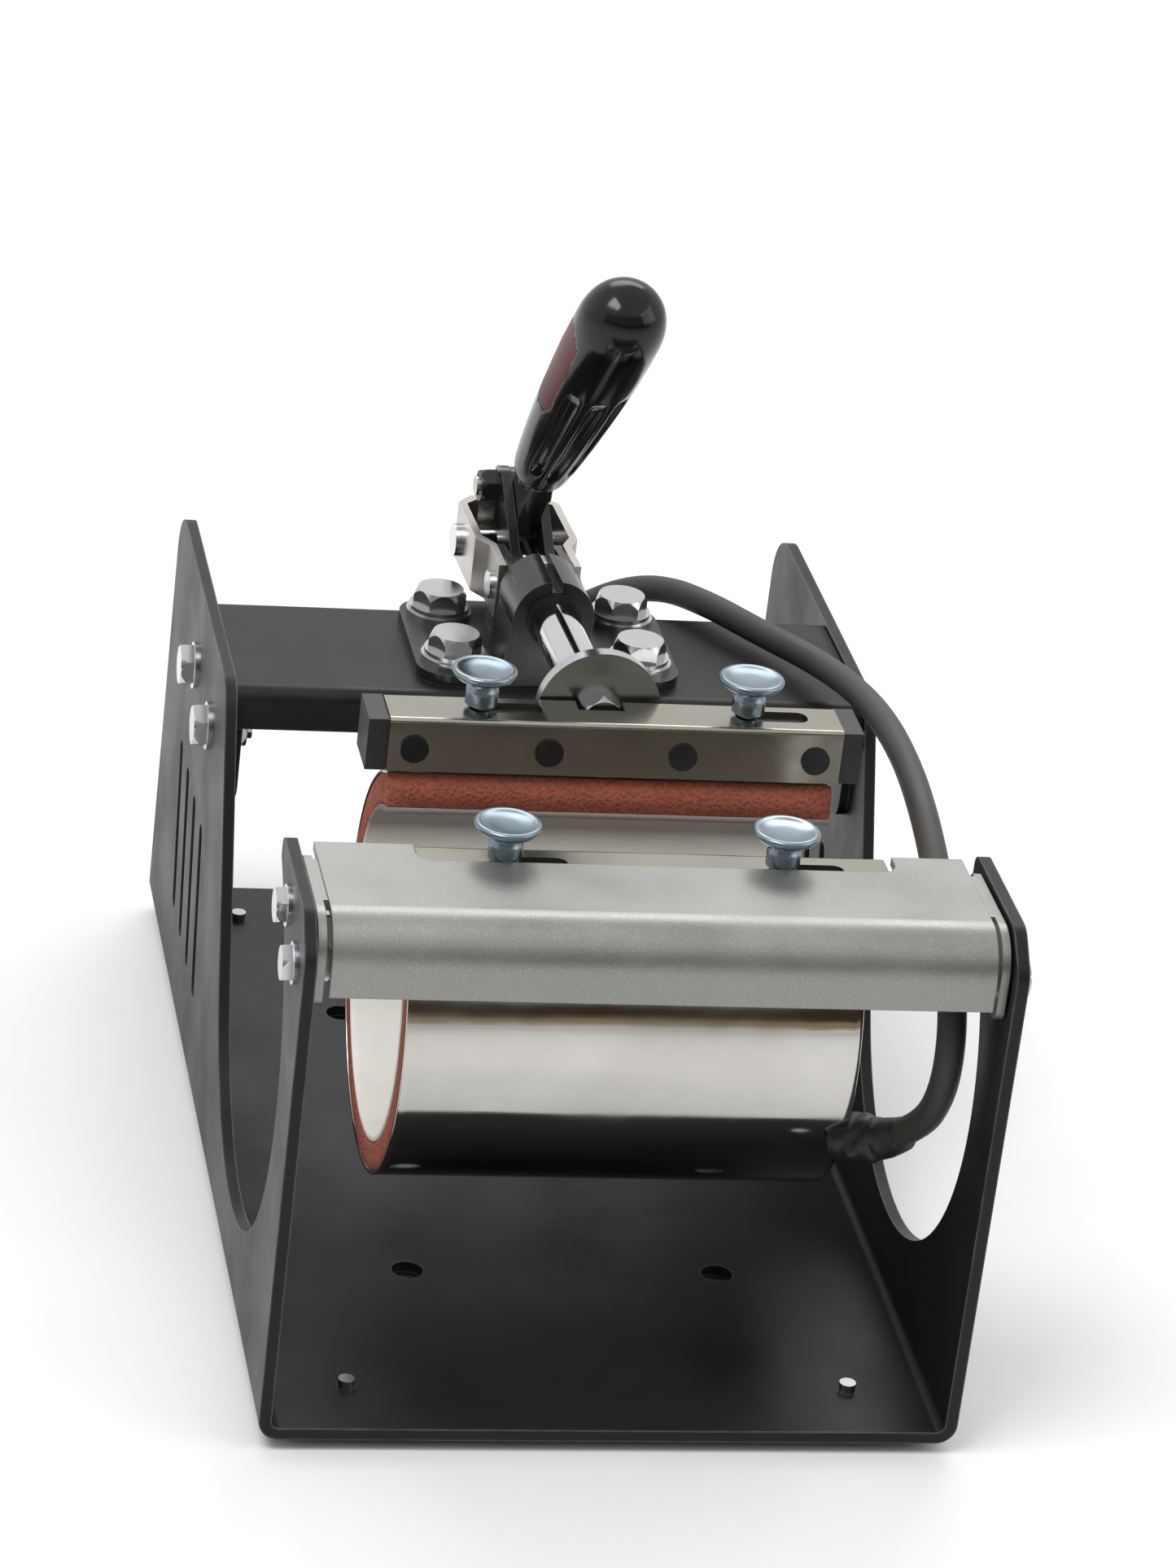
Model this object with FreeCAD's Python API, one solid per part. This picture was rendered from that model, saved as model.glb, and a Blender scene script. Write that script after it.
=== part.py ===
import FreeCAD
import Part
import math
import os

V = FreeCAD.Vector

# Mug heat press. Millimetres. X runs across, Y from the front to the back, Z up.
# The origin is on the surface that the feet stand on, under the middle of the base.
# In the values below, "y" is measured from the front edge of the base plate and "z" from
# the base plate's underside; place() turns both into the model's own frame.

# U-shaped frame
base_width = 168.0
base_depth = 280.0
sheet = 3.0
bend_radius = 5.0
foot_height = 3.0
ear_top = 134.0            # front ears
arm_top = 118.5            # rear arms
ear_depth = 48.0
opening_y = 77.0           # round opening in each side plate
opening_z = 78.0
opening_radius = 58.0
opening_slope = 62.0       # the opening's rear side leans back from the circle at this angle
mount_hole_radius = 4.0
mount_hole_x = 39.0
mount_hole_inset = 73.0    # from the front and from the back edge
foot_x = 61.0
foot_inset = 19.0
foot_radius = 7.5
vent_width = 6.0
vent_height = 44.0
vent_pitch = 17.0
vent_count = 4
vent_y = 206.0
vent_z = 46.0

# Front crossbar, a bent and painted sheet between the ears
end_gap = 0.6
front_sheet = 2.0
front_bar_top = 133.0
front_bar_bottom = 115.0
front_bar_front = 3.0
front_bar_rear = 46.0
front_bar_bend = 11.0
notch_depth = 8.0
ear_bolts = ((30.0, 124.5), (13.0, 118.5))
ear_bolt_radius = 2.5

# Rear crossbar, a channel bolted between the rear arms
rear_sheet = 2.5
rear_bar_top = 117.0
rear_bar_front = 164.0
rear_bar_depth = 56.0
rear_lip = 11.0
rear_flange_bottom = 84.0
rear_flange_tail = 13.0     # how far the end flanges reach behind the channel
arm_bolts = ((187.0, 96.0), (222.0, 97.0))
arm_bolt_radius = 3.0

# Heating wrap, open at the top
wrap_length = 110.0
wrap_shift = 3.0            # the wrap sits this far to the right of the frame's middle
wrap_y = 88.0
wrap_z = 77.5
mug_radius = 39.5
facing = 0.6
foil = 0.3
backing = 0.6
foam = 7.0
band = 1.0
wrap_end_angle = 76.0      # the rear end of the wrap, up from the horizontal at the rear
wrap_front_top = 129.4
foam_front_top = 122.5      # the sponge and the band stop below the front thumb screws' shanks
foil_margin = 6.0

# Clamp bar and the angle strips that hold the wrap's two ends
strip = 1.4
strip_length = 112.0
bar_length = 112.0
bar_cap = 5.0
bar_depth = 13.0
bar_height = 12.5
bar_gap = 0.2
bar_lift = 1.6             # of the clamp bar above the wrap's rear end
rivet_pitch = 33.0
rivet_radius = 2.6
thumb_x = 33.0
thumb_shank = 2.5
thumb_head = 8.0
thumb_collar = 4.0
thumb_collar_height = 6.4
running = 0.05             # radial clearance of a pin or shaft in its hole

# Toggle clamp
clamp_y0 = 170.0
clamp_y1 = 218.0
clamp_plate = 3.0
clamp_plate_half = 34.0
clamp_yaw = 2.5            # the clamp's upper works stand turned on the flange, rear end to the left
clamp_turn_y = 130.0
disc_clearance = 0.7
clamp_bolt_x = 24.0
clamp_bolt_y = (180.5, 208.8)
clamp_bolt_radius = 4.0
plunger_z = 137.0
plunger_radius = 6.0
bush_wall = 1.0
barrel_radius = 10.5
barrel_length = 17.0
ear_inside = 6.4            # the clamp body's two rear ears
ear_outside = 8.7
ear_length = 20.0
disc_radius = 15.5
disc_thickness = 3.5
yoke_half = 13.5
yoke_sheet = 2.0
yoke_y0 = 203.0
yoke_y1 = 235.0
yoke_z0 = 128.0
yoke_z1 = 143.0
yoke_neck = 14.0
pivot_y = 226.0
pivot_z = 134.0
pivot_radius = 3.0
handle_angle = 51.2        # above the horizontal, leaning to the front
grip_lean = 3.5            # the grip's lean to the right of the lever
lever_thickness = 6.0
lever_width = 12.0
crank_length = 18.0
crank_angle = 75.0
link_thickness = 2.5
link_pin_radius = 2.5
link_width = 11.0
plunger_pin_y = 202.0
grip_start = 38.0
grip_end = 125.5
grip_radius = 11.2
inlay_depth = 1.2
oval_reach = 12.0

# Lead
cable_radius = 3.5
sleeve_radius = 5.5
connector_radius = 8.0

x_inside = base_width / 2 - sheet


def place(x, y, z):
    return V(x, y - base_depth / 2, z + foot_height)


def box(x0, x1, y0, y1, z0, z1):
    return Part.makeBox(x1 - x0, y1 - y0, z1 - z0, place(x0, y0, z0))


def rod(start, end, radius):
    """A cylinder from one (x, y, z) to another."""
    a, b = place(*start), place(*end)
    return Part.makeCylinder(radius, (b - a).Length, a, b - a)


def outline(points, put):
    """A closed wire through (u, v, radius) corners, with an arc in each corner that has one."""
    flat = [(V(u, v, 0), r) for u, v, r in points]
    edges, first, last = [], None, None
    for i, (corner, radius) in enumerate(flat):
        before = (flat[i - 1][0] - corner).normalize()
        after = (flat[(i + 1) % len(flat)][0] - corner).normalize()
        if radius:
            half = before.getAngle(after) / 2
            start = corner + before * (radius / math.tan(half))
            end = corner + after * (radius / math.tan(half))
            centre = corner + (before + after).normalize() * (radius / math.sin(half))
            middle = centre + (corner - centre).normalize() * radius
        else:
            start = end = corner
        if last is not None and (start - last).Length > 1e-6:
            edges.append(Part.LineSegment(put(last), put(start)).toShape())
        if radius:
            edges.append(Part.Arc(put(start), put(middle), put(end)).toShape())
        first = start if first is None else first
        last = end
    if (first - last).Length > 1e-6:
        edges.append(Part.LineSegment(put(last), put(first)).toShape())
    return Part.Wire(edges)


def prism_x(points, x0, x1):
    """Extrudes a (y, z, radius) outline from x0 to x1."""
    wire = outline(points, lambda p: place(x0, p.x, p.y))
    return Part.Face(wire).extrude(V(x1 - x0, 0, 0))


def prism_y(points, y0, y1):
    """Extrudes an (x, z, radius) outline from y0 to y1."""
    wire = outline(points, lambda p: place(p.x, y0, p.y))
    return Part.Face(wire).extrude(V(0, y1 - y0, 0))


def prism_z(points, z0, z1):
    """Extrudes an (x, y, radius) outline from z0 to z1."""
    wire = outline(points, lambda p: place(p.x, p.y, z0))
    return Part.Face(wire).extrude(V(0, 0, z1 - z0))


def hexagon(start, direction, across_flats, height):
    """A hexagonal head or nut standing on start, along direction."""
    base, axis = place(*start), V(*direction)
    side = V(0, 0, 1) if abs(axis.z) < 0.5 else V(1, 0, 0)
    other = axis.cross(side)
    radius = across_flats / math.sqrt(3)
    corners = [
        base + side * (radius * math.cos(a)) + other * (radius * math.sin(a))
        for a in (math.radians(60 * k) for k in range(7))
    ]
    blank = Part.Face(Part.makePolygon(corners)).extrude(axis * height)
    cone = Part.makeCone(radius + 0.1, radius * 0.86, height * 0.5, base + axis * (height * 0.5), axis)
    body = Part.makeCylinder(radius + 0.1, height * 0.5, base, axis).fuse(cone)
    return blank.common(body)


def revolved(profile, origin, direction):
    """Turns an (along, radius) profile about direction from origin; it starts and ends on the axis."""
    axis = V(*direction).normalize()
    side = V(1, 0, 0) if abs(axis.x) < 0.9 else V(0, 0, 1)
    points = [origin + axis * s + side * r for s, r in profile]
    face = Part.Face(Part.makePolygon(points + [points[0]]))
    return face.revolve(origin, axis, 360)


def save(name, solids):
    solids = solids if isinstance(solids, list) else [solids]
    flat = [s for shape in solids for s in shape.removeSplitter().Solids]
    shape = flat[0] if len(flat) == 1 else Part.makeCompound(flat)
    shape.exportStep("parts/" + name + ".step")
    print(name, len(flat), "solid", round(shape.Volume, 1), "mm3", "valid" if shape.isValid() else "INVALID")


os.makedirs("parts", exist_ok=True)
sides = (-1, 1)

# Frame: a U of sheet, cut to the side outline, with its openings and holes
half = base_width / 2
u_outer = [(-half, ear_top, 0), (-half, 0, bend_radius), (half, 0, bend_radius), (half, ear_top, 0)]
u_inner = [(x_inside, ear_top, 0), (x_inside, sheet, bend_radius - sheet),
           (-x_inside, sheet, bend_radius - sheet), (-x_inside, ear_top, 0)]
u_section = prism_y(u_outer + u_inner, 0, base_depth)
slope = math.radians(opening_slope)
touch_y = opening_y + opening_radius * math.sin(slope)
touch_z = opening_z - opening_radius * math.cos(slope)
opening_back = touch_y + (arm_top - touch_z) / math.tan(slope)
side_outline = [
    (0, 0, 0), (base_depth, 0, 0), (base_depth, arm_top, 14), (opening_back, arm_top, 12),
    (touch_y, touch_z, 0), (opening_y, opening_z, 0),
    (ear_depth, opening_z + 20, 0), (ear_depth, ear_top, 3),
    (9, ear_top, 7), (0, ear_top - 8, 6),
]
frame = u_section.common(prism_x(side_outline, -half, half))
frame = frame.cut(rod((-half - 1, opening_y, opening_z), (half + 1, opening_y, opening_z), opening_radius))
mount_hole_y = (mount_hole_inset, base_depth - mount_hole_inset)
mount_holes = [(s * mount_hole_x, y) for s in sides for y in mount_hole_y]
foot_places = [(s * foot_x, y) for s in sides for y in (foot_inset, base_depth - foot_inset)]
foot_screw_radius = 2.0
for x, y in mount_holes:
    frame = frame.cut(rod((x, y, -1), (x, y, sheet + 1), mount_hole_radius))
for x, y in foot_places:
    frame = frame.cut(rod((x, y, -1), (x, y, sheet + 1), foot_screw_radius + running))
for bolts, radius in ((ear_bolts, ear_bolt_radius), (arm_bolts, arm_bolt_radius)):
    for y, z in bolts:
        frame = frame.cut(rod((-half - 1, y, z), (half + 1, y, z), radius + running))
for i in range(vent_count):
    y = vent_y + (i - (vent_count - 1) / 2) * vent_pitch
    lean = 6.0
    low, high = vent_z - vent_height / 2, vent_z + vent_height / 2
    slot = [(y - vent_width / 2 - lean, low, 2.5), (y + vent_width / 2 - lean, low, 2.5),
            (y + vent_width / 2 + lean, high, 2.5), (y - vent_width / 2 + lean, high, 2.5)]
    frame = frame.cut(prism_x(slot, -half - 1, half + 1))
save("frame", frame)

# Feet
foot_head = 4.0
feet, foot_screws = [], []
for x, y in foot_places:
    foot = rod((x, y, -foot_height), (x, y, 0), foot_radius)
    foot = foot.cut(rod((x, y, -foot_height), (x, y, -foot_height + 1.9), foot_head + 0.4))
    feet.append(foot.cut(rod((x, y, -foot_height), (x, y, 0), foot_screw_radius + running)))
    head = rod((x, y, -foot_height + 0.4), (x, y, -foot_height + 1.9), foot_head)
    foot_screws.append(head.fuse(rod((x, y, -foot_height + 1), (x, y, sheet + 2.2), foot_screw_radius)))
save("rubber_feet", feet)
save("foot_screws", foot_screws)

# Front crossbar: top face, large bend and front face, with a flange at each end
front_end = x_inside - end_gap
t = front_sheet
cross_section = [
    (front_bar_rear, front_bar_top, 0), (front_bar_front, front_bar_top, front_bar_bend),
    (front_bar_front, front_bar_bottom, 0), (front_bar_front + t, front_bar_bottom, 0),
    (front_bar_front + t, front_bar_top - t, front_bar_bend - t), (front_bar_rear, front_bar_top - t, 0),
]
flange_gap = 1.2
front_bar = prism_x(cross_section, -front_end + t + flange_gap, front_end - t - flange_gap)
notch_left = wrap_shift - strip_length / 2 - 1.0
notch_right = wrap_shift + strip_length / 2 + 1.0
notch = [(notch_left, front_bar_rear + 3, 0), (notch_left, front_bar_rear - notch_depth, 4),
         (notch_right, front_bar_rear - notch_depth, 4), (notch_right, front_bar_rear + 3, 0)]
front_bar = front_bar.cut(prism_z(notch, front_bar_top - t - 1, front_bar_top + 1))
lowest = min(z for _, z in ear_bolts) - 7
flange = [
    (front_bar_front + 1.2, front_bar_top - 0.4, front_bar_bend - 1), (front_bar_front + 1.2, lowest, 3),
    (front_bar_front + 16, lowest, 6), (front_bar_rear - 12, front_bar_top - 20, 6),
    (front_bar_rear - 4, front_bar_top - 0.4, 2),
]
for s in sides:
    low, high = sorted((s * front_end, s * (front_end - t)))
    tab = prism_x(flange, low, high)
    neck_low, neck_high = sorted((s * (front_end - t), s * (front_end - t - flange_gap)))
    neck = box(neck_low, neck_high, front_bar_front + 14, front_bar_rear - 8,
               front_bar_top - t, front_bar_top - 0.4)
    front_bar = front_bar.fuse(tab).fuse(neck)
for y, z in ear_bolts:
    for s in sides:
        hole_start, hole_end = (s * (front_end - 4), y, z), (s * (front_end + 1), y, z)
        front_bar = front_bar.cut(rod(hole_start, hole_end, ear_bolt_radius + running))
save("front_crossbar", front_bar)


def side_bolts(bolts, radius, inner_wall, head_flats, head_height, washer):
    """Hex bolts through a side plate and the flange inside it, with their washers and nuts."""
    heads, nuts = [], []
    for s in sides:
        for y, z in bolts:
            outer, inner = s * half, s * inner_wall
            nut_face = inner - s * head_height
            shank = rod((outer, y, z), (nut_face - s * 1.5, y, z), radius)
            seat = rod((outer, y, z), (outer + s * washer, y, z), head_flats * 0.62)
            head = hexagon((outer + s * washer, y, z), (s, 0, 0), head_flats, head_height)
            heads.append(shank.fuse(seat).fuse(head))
            nut = hexagon((inner, y, z), (-s, 0, 0), head_flats, head_height)
            nuts.append(nut.cut(rod((inner + s, y, z), (nut_face - s, y, z), radius)))
    return heads, nuts


ear_heads, ear_nuts = side_bolts(ear_bolts, ear_bolt_radius, front_end - t, 8.0, 2.6, 0.8)
save("front_crossbar_bolts", ear_heads)
save("front_crossbar_nuts", ear_nuts)

# Rear crossbar: channel with a lip at the front and the back and a bolting flange at each end
rear_bar_rear = rear_bar_front + rear_bar_depth
r = rear_sheet
channel = [
    (rear_bar_front, rear_bar_top - rear_lip, 0), (rear_bar_front, rear_bar_top, 4),
    (rear_bar_rear, rear_bar_top, 4), (rear_bar_rear, rear_bar_top - rear_lip, 0),
    (rear_bar_rear - r, rear_bar_top - rear_lip, 0), (rear_bar_rear - r, rear_bar_top - r, 1.5),
    (rear_bar_front + r, rear_bar_top - r, 1.5), (rear_bar_front + r, rear_bar_top - rear_lip, 0),
]
rear_end = x_inside - 0.1
rear_bar = prism_x(channel, -rear_end, rear_end)
for s in sides:
    low, high = sorted((s * rear_end, s * (rear_end - r)))
    tail = rear_bar_rear + rear_flange_tail
    flange = [(rear_bar_front + r, rear_bar_top - r, 0), (rear_bar_front + r, rear_flange_bottom, 5),
              (tail, rear_flange_bottom, 5), (tail, rear_bar_top - 8, 6),
              (rear_bar_rear - r, rear_bar_top - r, 0)]
    rear_bar = rear_bar.fuse(prism_x(flange, low, high))
for y, z in arm_bolts:
    rear_bar = rear_bar.cut(rod((-half, y, z), (half, y, z), arm_bolt_radius + running))
for x in (-clamp_bolt_x, clamp_bolt_x):
    for y in clamp_bolt_y:
        hole = rod((x, y, rear_bar_top - 5), (x, y, rear_bar_top + 1), clamp_bolt_radius + running)
        rear_bar = rear_bar.cut(hole)
save("rear_crossbar", rear_bar)
arm_heads, arm_nuts = side_bolts(arm_bolts, arm_bolt_radius, rear_end - r, 10.0, 3.6, 1.0)
save("rear_crossbar_bolts", arm_heads)
save("rear_crossbar_nuts", arm_nuts)

# Heating wrap: layers that rise straight at the front and follow a circle round to the rear end
half_wrap = wrap_length / 2

def wrap_layer(inner, outer, half_length, front_z, end_angle):
    """One layer between two radii: a straight front wall and an arc under and behind the mug."""
    start = place(wrap_shift - half_length, wrap_y, wrap_z)
    ring = Part.makeCylinder(outer, 2 * half_length, start, V(1, 0, 0))
    ring = ring.cut(Part.makeCylinder(inner, 2 * half_length, start, V(1, 0, 0)))
    far = outer * 3
    a = math.radians(end_angle)
    keep = [(wrap_y, wrap_z, 0), (wrap_y - far, wrap_z, 0), (wrap_y - far, wrap_z - far, 0),
            (wrap_y + far, wrap_z - far, 0), (wrap_y + far, wrap_z, 0),
            (wrap_y + far * math.cos(a), wrap_z + far * math.sin(a), 0)]
    ring = ring.common(prism_x(keep, wrap_shift - half_length, wrap_shift + half_length))
    wall = box(wrap_shift - half_length, wrap_shift + half_length,
               wrap_y - outer, wrap_y - inner, wrap_z, front_z)
    return ring.fuse(wall)


radii = [mug_radius]
for layer in (facing, foil, backing, foam, band):
    radii.append(radii[-1] + layer)
save("wrap_facing", wrap_layer(radii[0], radii[1], half_wrap, wrap_front_top, wrap_end_angle))
save("heater_foil", wrap_layer(radii[1], radii[2], half_wrap - foil_margin,
                               wrap_front_top - foil_margin, wrap_end_angle - foil_margin))
save("wrap_backing", wrap_layer(radii[2], radii[3], half_wrap, wrap_front_top, wrap_end_angle))
save("wrap_foam", wrap_layer(radii[3], radii[4], half_wrap, foam_front_top, wrap_end_angle))
save("wrap_band", wrap_layer(radii[4], radii[5], half_wrap, foam_front_top, wrap_end_angle))
wrap_outer = radii[5]

# Front angle strip: its top leg lies under the notch, its other leg holds the wrap's front end
strip_half = strip_length / 2
wall_rear = wrap_y - mug_radius
angle_top = front_bar_top - t
top_leg = [(front_bar_rear - notch_depth - 4, wrap_front_top, 0), (wall_rear, wrap_front_top, 0),
           (wall_rear, wrap_front_top - 16, 0), (wall_rear + strip, wrap_front_top - 16, 0),
           (wall_rear + strip, angle_top, 1.5), (front_bar_rear - notch_depth - 4, angle_top, 0)]
front_strip = prism_x(top_leg, wrap_shift - strip_half, wrap_shift + strip_half)
thumb_front_y = front_bar_rear - notch_depth / 2
slot_half = 9.0
for s in sides:
    x0 = s * thumb_x - thumb_shank - 0.4
    slot = [(x0, thumb_front_y - 2.9, 2.5), (x0, thumb_front_y + 2.9, 2.5),
            (x0 + 2 * slot_half, thumb_front_y + 2.9, 2.5), (x0 + 2 * slot_half, thumb_front_y - 2.9, 2.5)]
    front_strip = front_strip.cut(prism_z(slot, wrap_front_top - 0.5, angle_top + 1))
wrap_rivets_x = [wrap_shift + (k - 1.5) * rivet_pitch for k in range(4)]
rivet_z_front = wrap_front_top - 9
for x in wrap_rivets_x:
    hole = rod((x, wall_rear - 1, rivet_z_front), (x, wall_rear + 5, rivet_z_front), rivet_radius)
    front_strip = front_strip.cut(hole)
save("front_angle_strip", front_strip)
save("front_strip_rivets", [
    rod((x, wall_rear, rivet_z_front), (x, wall_rear + strip + 0.6, rivet_z_front), rivet_radius)
    for x in wrap_rivets_x])

# Clamp bar with end caps, the angle strip on it and its rivets
bar_front = wrap_y + wrap_outer * math.cos(math.radians(wrap_end_angle)) + bar_gap
bar_bottom = wrap_z + wrap_outer * math.sin(math.radians(wrap_end_angle)) + bar_lift
bar_rear = bar_front + bar_depth
bar_top = bar_bottom + bar_height
bar_half = bar_length / 2
thumb_rear_y = bar_front + bar_depth / 2
end_bolt_flats = 10.0
end_bolt_head = 5.0
bar = box(wrap_shift - bar_half, wrap_shift + bar_half, bar_front, bar_rear, bar_bottom, bar_top)
pocket_radius = end_bolt_flats * 0.62
pocket_front = bar_rear - end_bolt_head
bar = bar.cut(rod((0, pocket_front - 0.5, plunger_z), (0, bar_rear + 1, plunger_z), pocket_radius))
for s in sides:
    x = wrap_shift + s * thumb_x
    bar = bar.cut(rod((x, thumb_rear_y, bar_top - 9), (x, thumb_rear_y, bar_top + 1), thumb_shank + running))
for x in wrap_rivets_x:
    bar = bar.cut(rod((x, bar_front - 1, bar_bottom + 6), (x, bar_front + 4, bar_bottom + 6), rivet_radius))
save("clamp_bar", bar)
for s, name in zip(sides, ("left", "right")):
    low, high = sorted((wrap_shift + s * bar_half, wrap_shift + s * (bar_half + bar_cap)))
    cap = box(low, high, bar_front - 0.8, bar_rear + 0.8, bar_bottom - 0.1, bar_top + 0.8)
    save("bar_end_cap_" + name, cap)
rear_strip = [(bar_front - strip, bar_bottom, 0), (bar_front - strip, bar_top + strip, 1.2),
              (bar_rear - 1, bar_top + strip, 0), (bar_rear - 1, bar_top, 0),
              (bar_front, bar_top, 0), (bar_front, bar_bottom, 0)]
strip_in = bar_half - 0.1
rear_angle = prism_x(rear_strip, wrap_shift - strip_in, wrap_shift + strip_in)
pocket = rod((0, pocket_front - 1, plunger_z), (0, bar_rear + 1, plunger_z), pocket_radius + 0.6)
rear_angle = rear_angle.cut(pocket)
for s in sides:
    x0 = wrap_shift + s * thumb_x - thumb_shank - 0.4
    slot = [(x0, thumb_rear_y - 2.9, 2.5), (x0, thumb_rear_y + 2.9, 2.5),
            (x0 + 2 * slot_half, thumb_rear_y + 2.9, 2.5), (x0 + 2 * slot_half, thumb_rear_y - 2.9, 2.5)]
    rear_angle = rear_angle.cut(prism_z(slot, bar_top - 1, bar_top + strip + 1))
for x in wrap_rivets_x:
    hole = rod((x, bar_front - 3, bar_bottom + 6), (x, bar_front, bar_bottom + 6), rivet_radius)
    rear_angle = rear_angle.cut(hole)
save("rear_angle_strip", rear_angle)
rivets = []
for x in wrap_rivets_x:
    stem = rod((x, bar_front - strip, bar_bottom + 6), (x, bar_front + 4, bar_bottom + 6), rivet_radius)
    rivets.append(stem.fuse(rod((x, bar_front - strip - 0.7, bar_bottom + 6),
                                (x, bar_front - strip, bar_bottom + 6), rivet_radius + 0.9)))
save("rear_strip_rivets", rivets)


def thumb_screw(x, y, seat, depth):
    """A mushroom-headed screw standing on seat, with its shank going down by depth."""
    h, c, r1, r2 = thumb_collar_height, 1.4, thumb_collar, thumb_head
    profile = [(0, 0), (0, r1), (h * 0.5, r1), (h * 0.7, r1 - 0.8), (h + 0.6, r2 - 1.2), (h + c, r2),
               (h + c + 1.4, r2), (h + c + 2.6, r2 - 2.6), (h + c + 2.8, 0)]
    knob = revolved(profile, place(x, y, seat), (0, 0, 1))
    return knob.fuse(rod((x, y, seat - depth), (x, y, seat + 1), thumb_shank))


# Front thumb screws go through the slot and a nut plate that is fixed under the crossbar
nut_plate_top = wrap_front_top - 0.1
nut_plate_front = front_bar_front + t + 12
plate_rear = wrap_y - radii[3] - 0.2
plate = box(-strip_half, strip_half, nut_plate_front + 6, plate_rear, nut_plate_top - 2.5, nut_plate_top)
nut_plate_low = nut_plate_top - 2.5
riser = box(-strip_half, strip_half, nut_plate_front + 6, nut_plate_front + 8.5,
            nut_plate_top - 2.5, front_bar_top - t)
plate = plate.fuse(riser)
for s in sides:
    x, y = s * thumb_x, thumb_front_y
    plate = plate.cut(rod((x, y, nut_plate_low - 1), (x, y, nut_plate_top + 4), thumb_shank + running))
save("front_nut_plate", plate)
for s, name in zip(sides, ("left", "right")):
    front_screw = thumb_screw(s * thumb_x, thumb_front_y, angle_top + 0.05, 7.5)
    save("front_thumb_screw_" + name, front_screw)
    rear_screw = thumb_screw(wrap_shift + s * thumb_x, thumb_rear_y, bar_top + strip + 0.05, 9)
    save("rear_thumb_screw_" + name, rear_screw)

# Toggle clamp base: a flange each side, walls up to the guide barrel
plate_low = rear_bar_top
wall_half = barrel_radius
foot_half = wall_half + 4.0
profile = [
    (-foot_half, plate_low, 0), (foot_half, plate_low, 0),
    (foot_half, plate_low + clamp_plate, 1), (wall_half + 1.5, plate_low + clamp_plate, 1.5),
    (barrel_radius - 0.5, plunger_z, 2), (-barrel_radius + 0.5, plunger_z, 2),
    (-wall_half - 1.5, plate_low + clamp_plate, 1.5), (-foot_half, plate_low + clamp_plate, 1),
]


def turned(shape):
    """The clamp's yaw about a vertical line near the pressure disc."""
    return shape.rotated(place(0, clamp_turn_y, 0), V(0, 0, 1), clamp_yaw)


barrel_rear = clamp_y0 + barrel_length
rounding = [(-clamp_plate_half, clamp_y0, 8), (clamp_plate_half, clamp_y0, 8),
            (clamp_plate_half, clamp_y1, 8), (-clamp_plate_half, clamp_y1, 8)]
flange = prism_z(rounding, plate_low, plate_low + clamp_plate)
body = prism_y(profile, clamp_y0, barrel_rear)
body = body.fuse(rod((0, clamp_y0 - 1.5, plunger_z), (0, barrel_rear, plunger_z), barrel_radius))
for s in sides:
    low, high = sorted((s * ear_inside, s * ear_outside))
    ear = [(barrel_rear - 10, plate_low + 1, 0), (barrel_rear - 10, plunger_z + 6, 0),
           (barrel_rear + 3, yoke_z1 + 0.5, 3), (barrel_rear + ear_length, yoke_z1 - 1, 3),
           (barrel_rear + ear_length, plate_low + 1, 0)]
    body = body.fuse(prism_x(ear, low, high))
bush_outer = plunger_radius + bush_wall
body = body.cut(rod((0, clamp_y0 - 3, plunger_z), (0, barrel_rear, plunger_z), bush_outer))
body = body.cut(rod((0, barrel_rear - 1, plunger_z), (0, clamp_y1 + 20, plunger_z), plunger_radius + 0.3))
body = body.cut(box(-1.2, 1.2, clamp_y0 - 3, barrel_rear + 1, plunger_z + bush_outer + 0.6, plunger_z + 20))
clamp_base = flange.fuse(turned(body))
for x in (-clamp_bolt_x, clamp_bolt_x):
    for y in clamp_bolt_y:
        hole_end = (x, y, plate_low + clamp_plate + 1)
        clamp_base = clamp_base.cut(rod((x, y, plate_low - 1), hole_end, clamp_bolt_radius + running))
save("clamp_base", clamp_base)
bush = rod((0, clamp_y0 - 3, plunger_z), (0, barrel_rear - 1, plunger_z), bush_outer)
bush = bush.cut(rod((0, clamp_y0 - 4, plunger_z), (0, barrel_rear + 1, plunger_z), plunger_radius + running))
save("plunger_bush", turned(bush))

clamp_heads, clamp_washers, clamp_nuts = [], [], []
seat = plate_low + clamp_plate
under = rear_bar_top - rear_sheet
for x in (-clamp_bolt_x, clamp_bolt_x):
    for y in clamp_bolt_y:
        washer = rod((x, y, seat), (x, y, seat + 1.6), 8.5)
        clamp_washers.append(washer.cut(rod((x, y, seat), (x, y, seat + 2), clamp_bolt_radius + running)))
        head = hexagon((x, y, seat + 3.0), (0, 0, 1), 12.0, 4.4)
        skirt = rod((x, y, seat + 1.6), (x, y, seat + 3.0), 7.8)
        shank = rod((x, y, under - 9), (x, y, seat + 2), clamp_bolt_radius)
        clamp_heads.append(head.fuse(skirt).fuse(shank))
        nut = hexagon((x, y, under), (0, 0, -1), 13.0, 6.5)
        clamp_nuts.append(nut.cut(rod((x, y, under - 8), (x, y, under + 1), clamp_bolt_radius)))
save("clamp_bolts", clamp_heads)
save("clamp_washers", clamp_washers)
save("clamp_nuts", clamp_nuts)

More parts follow.
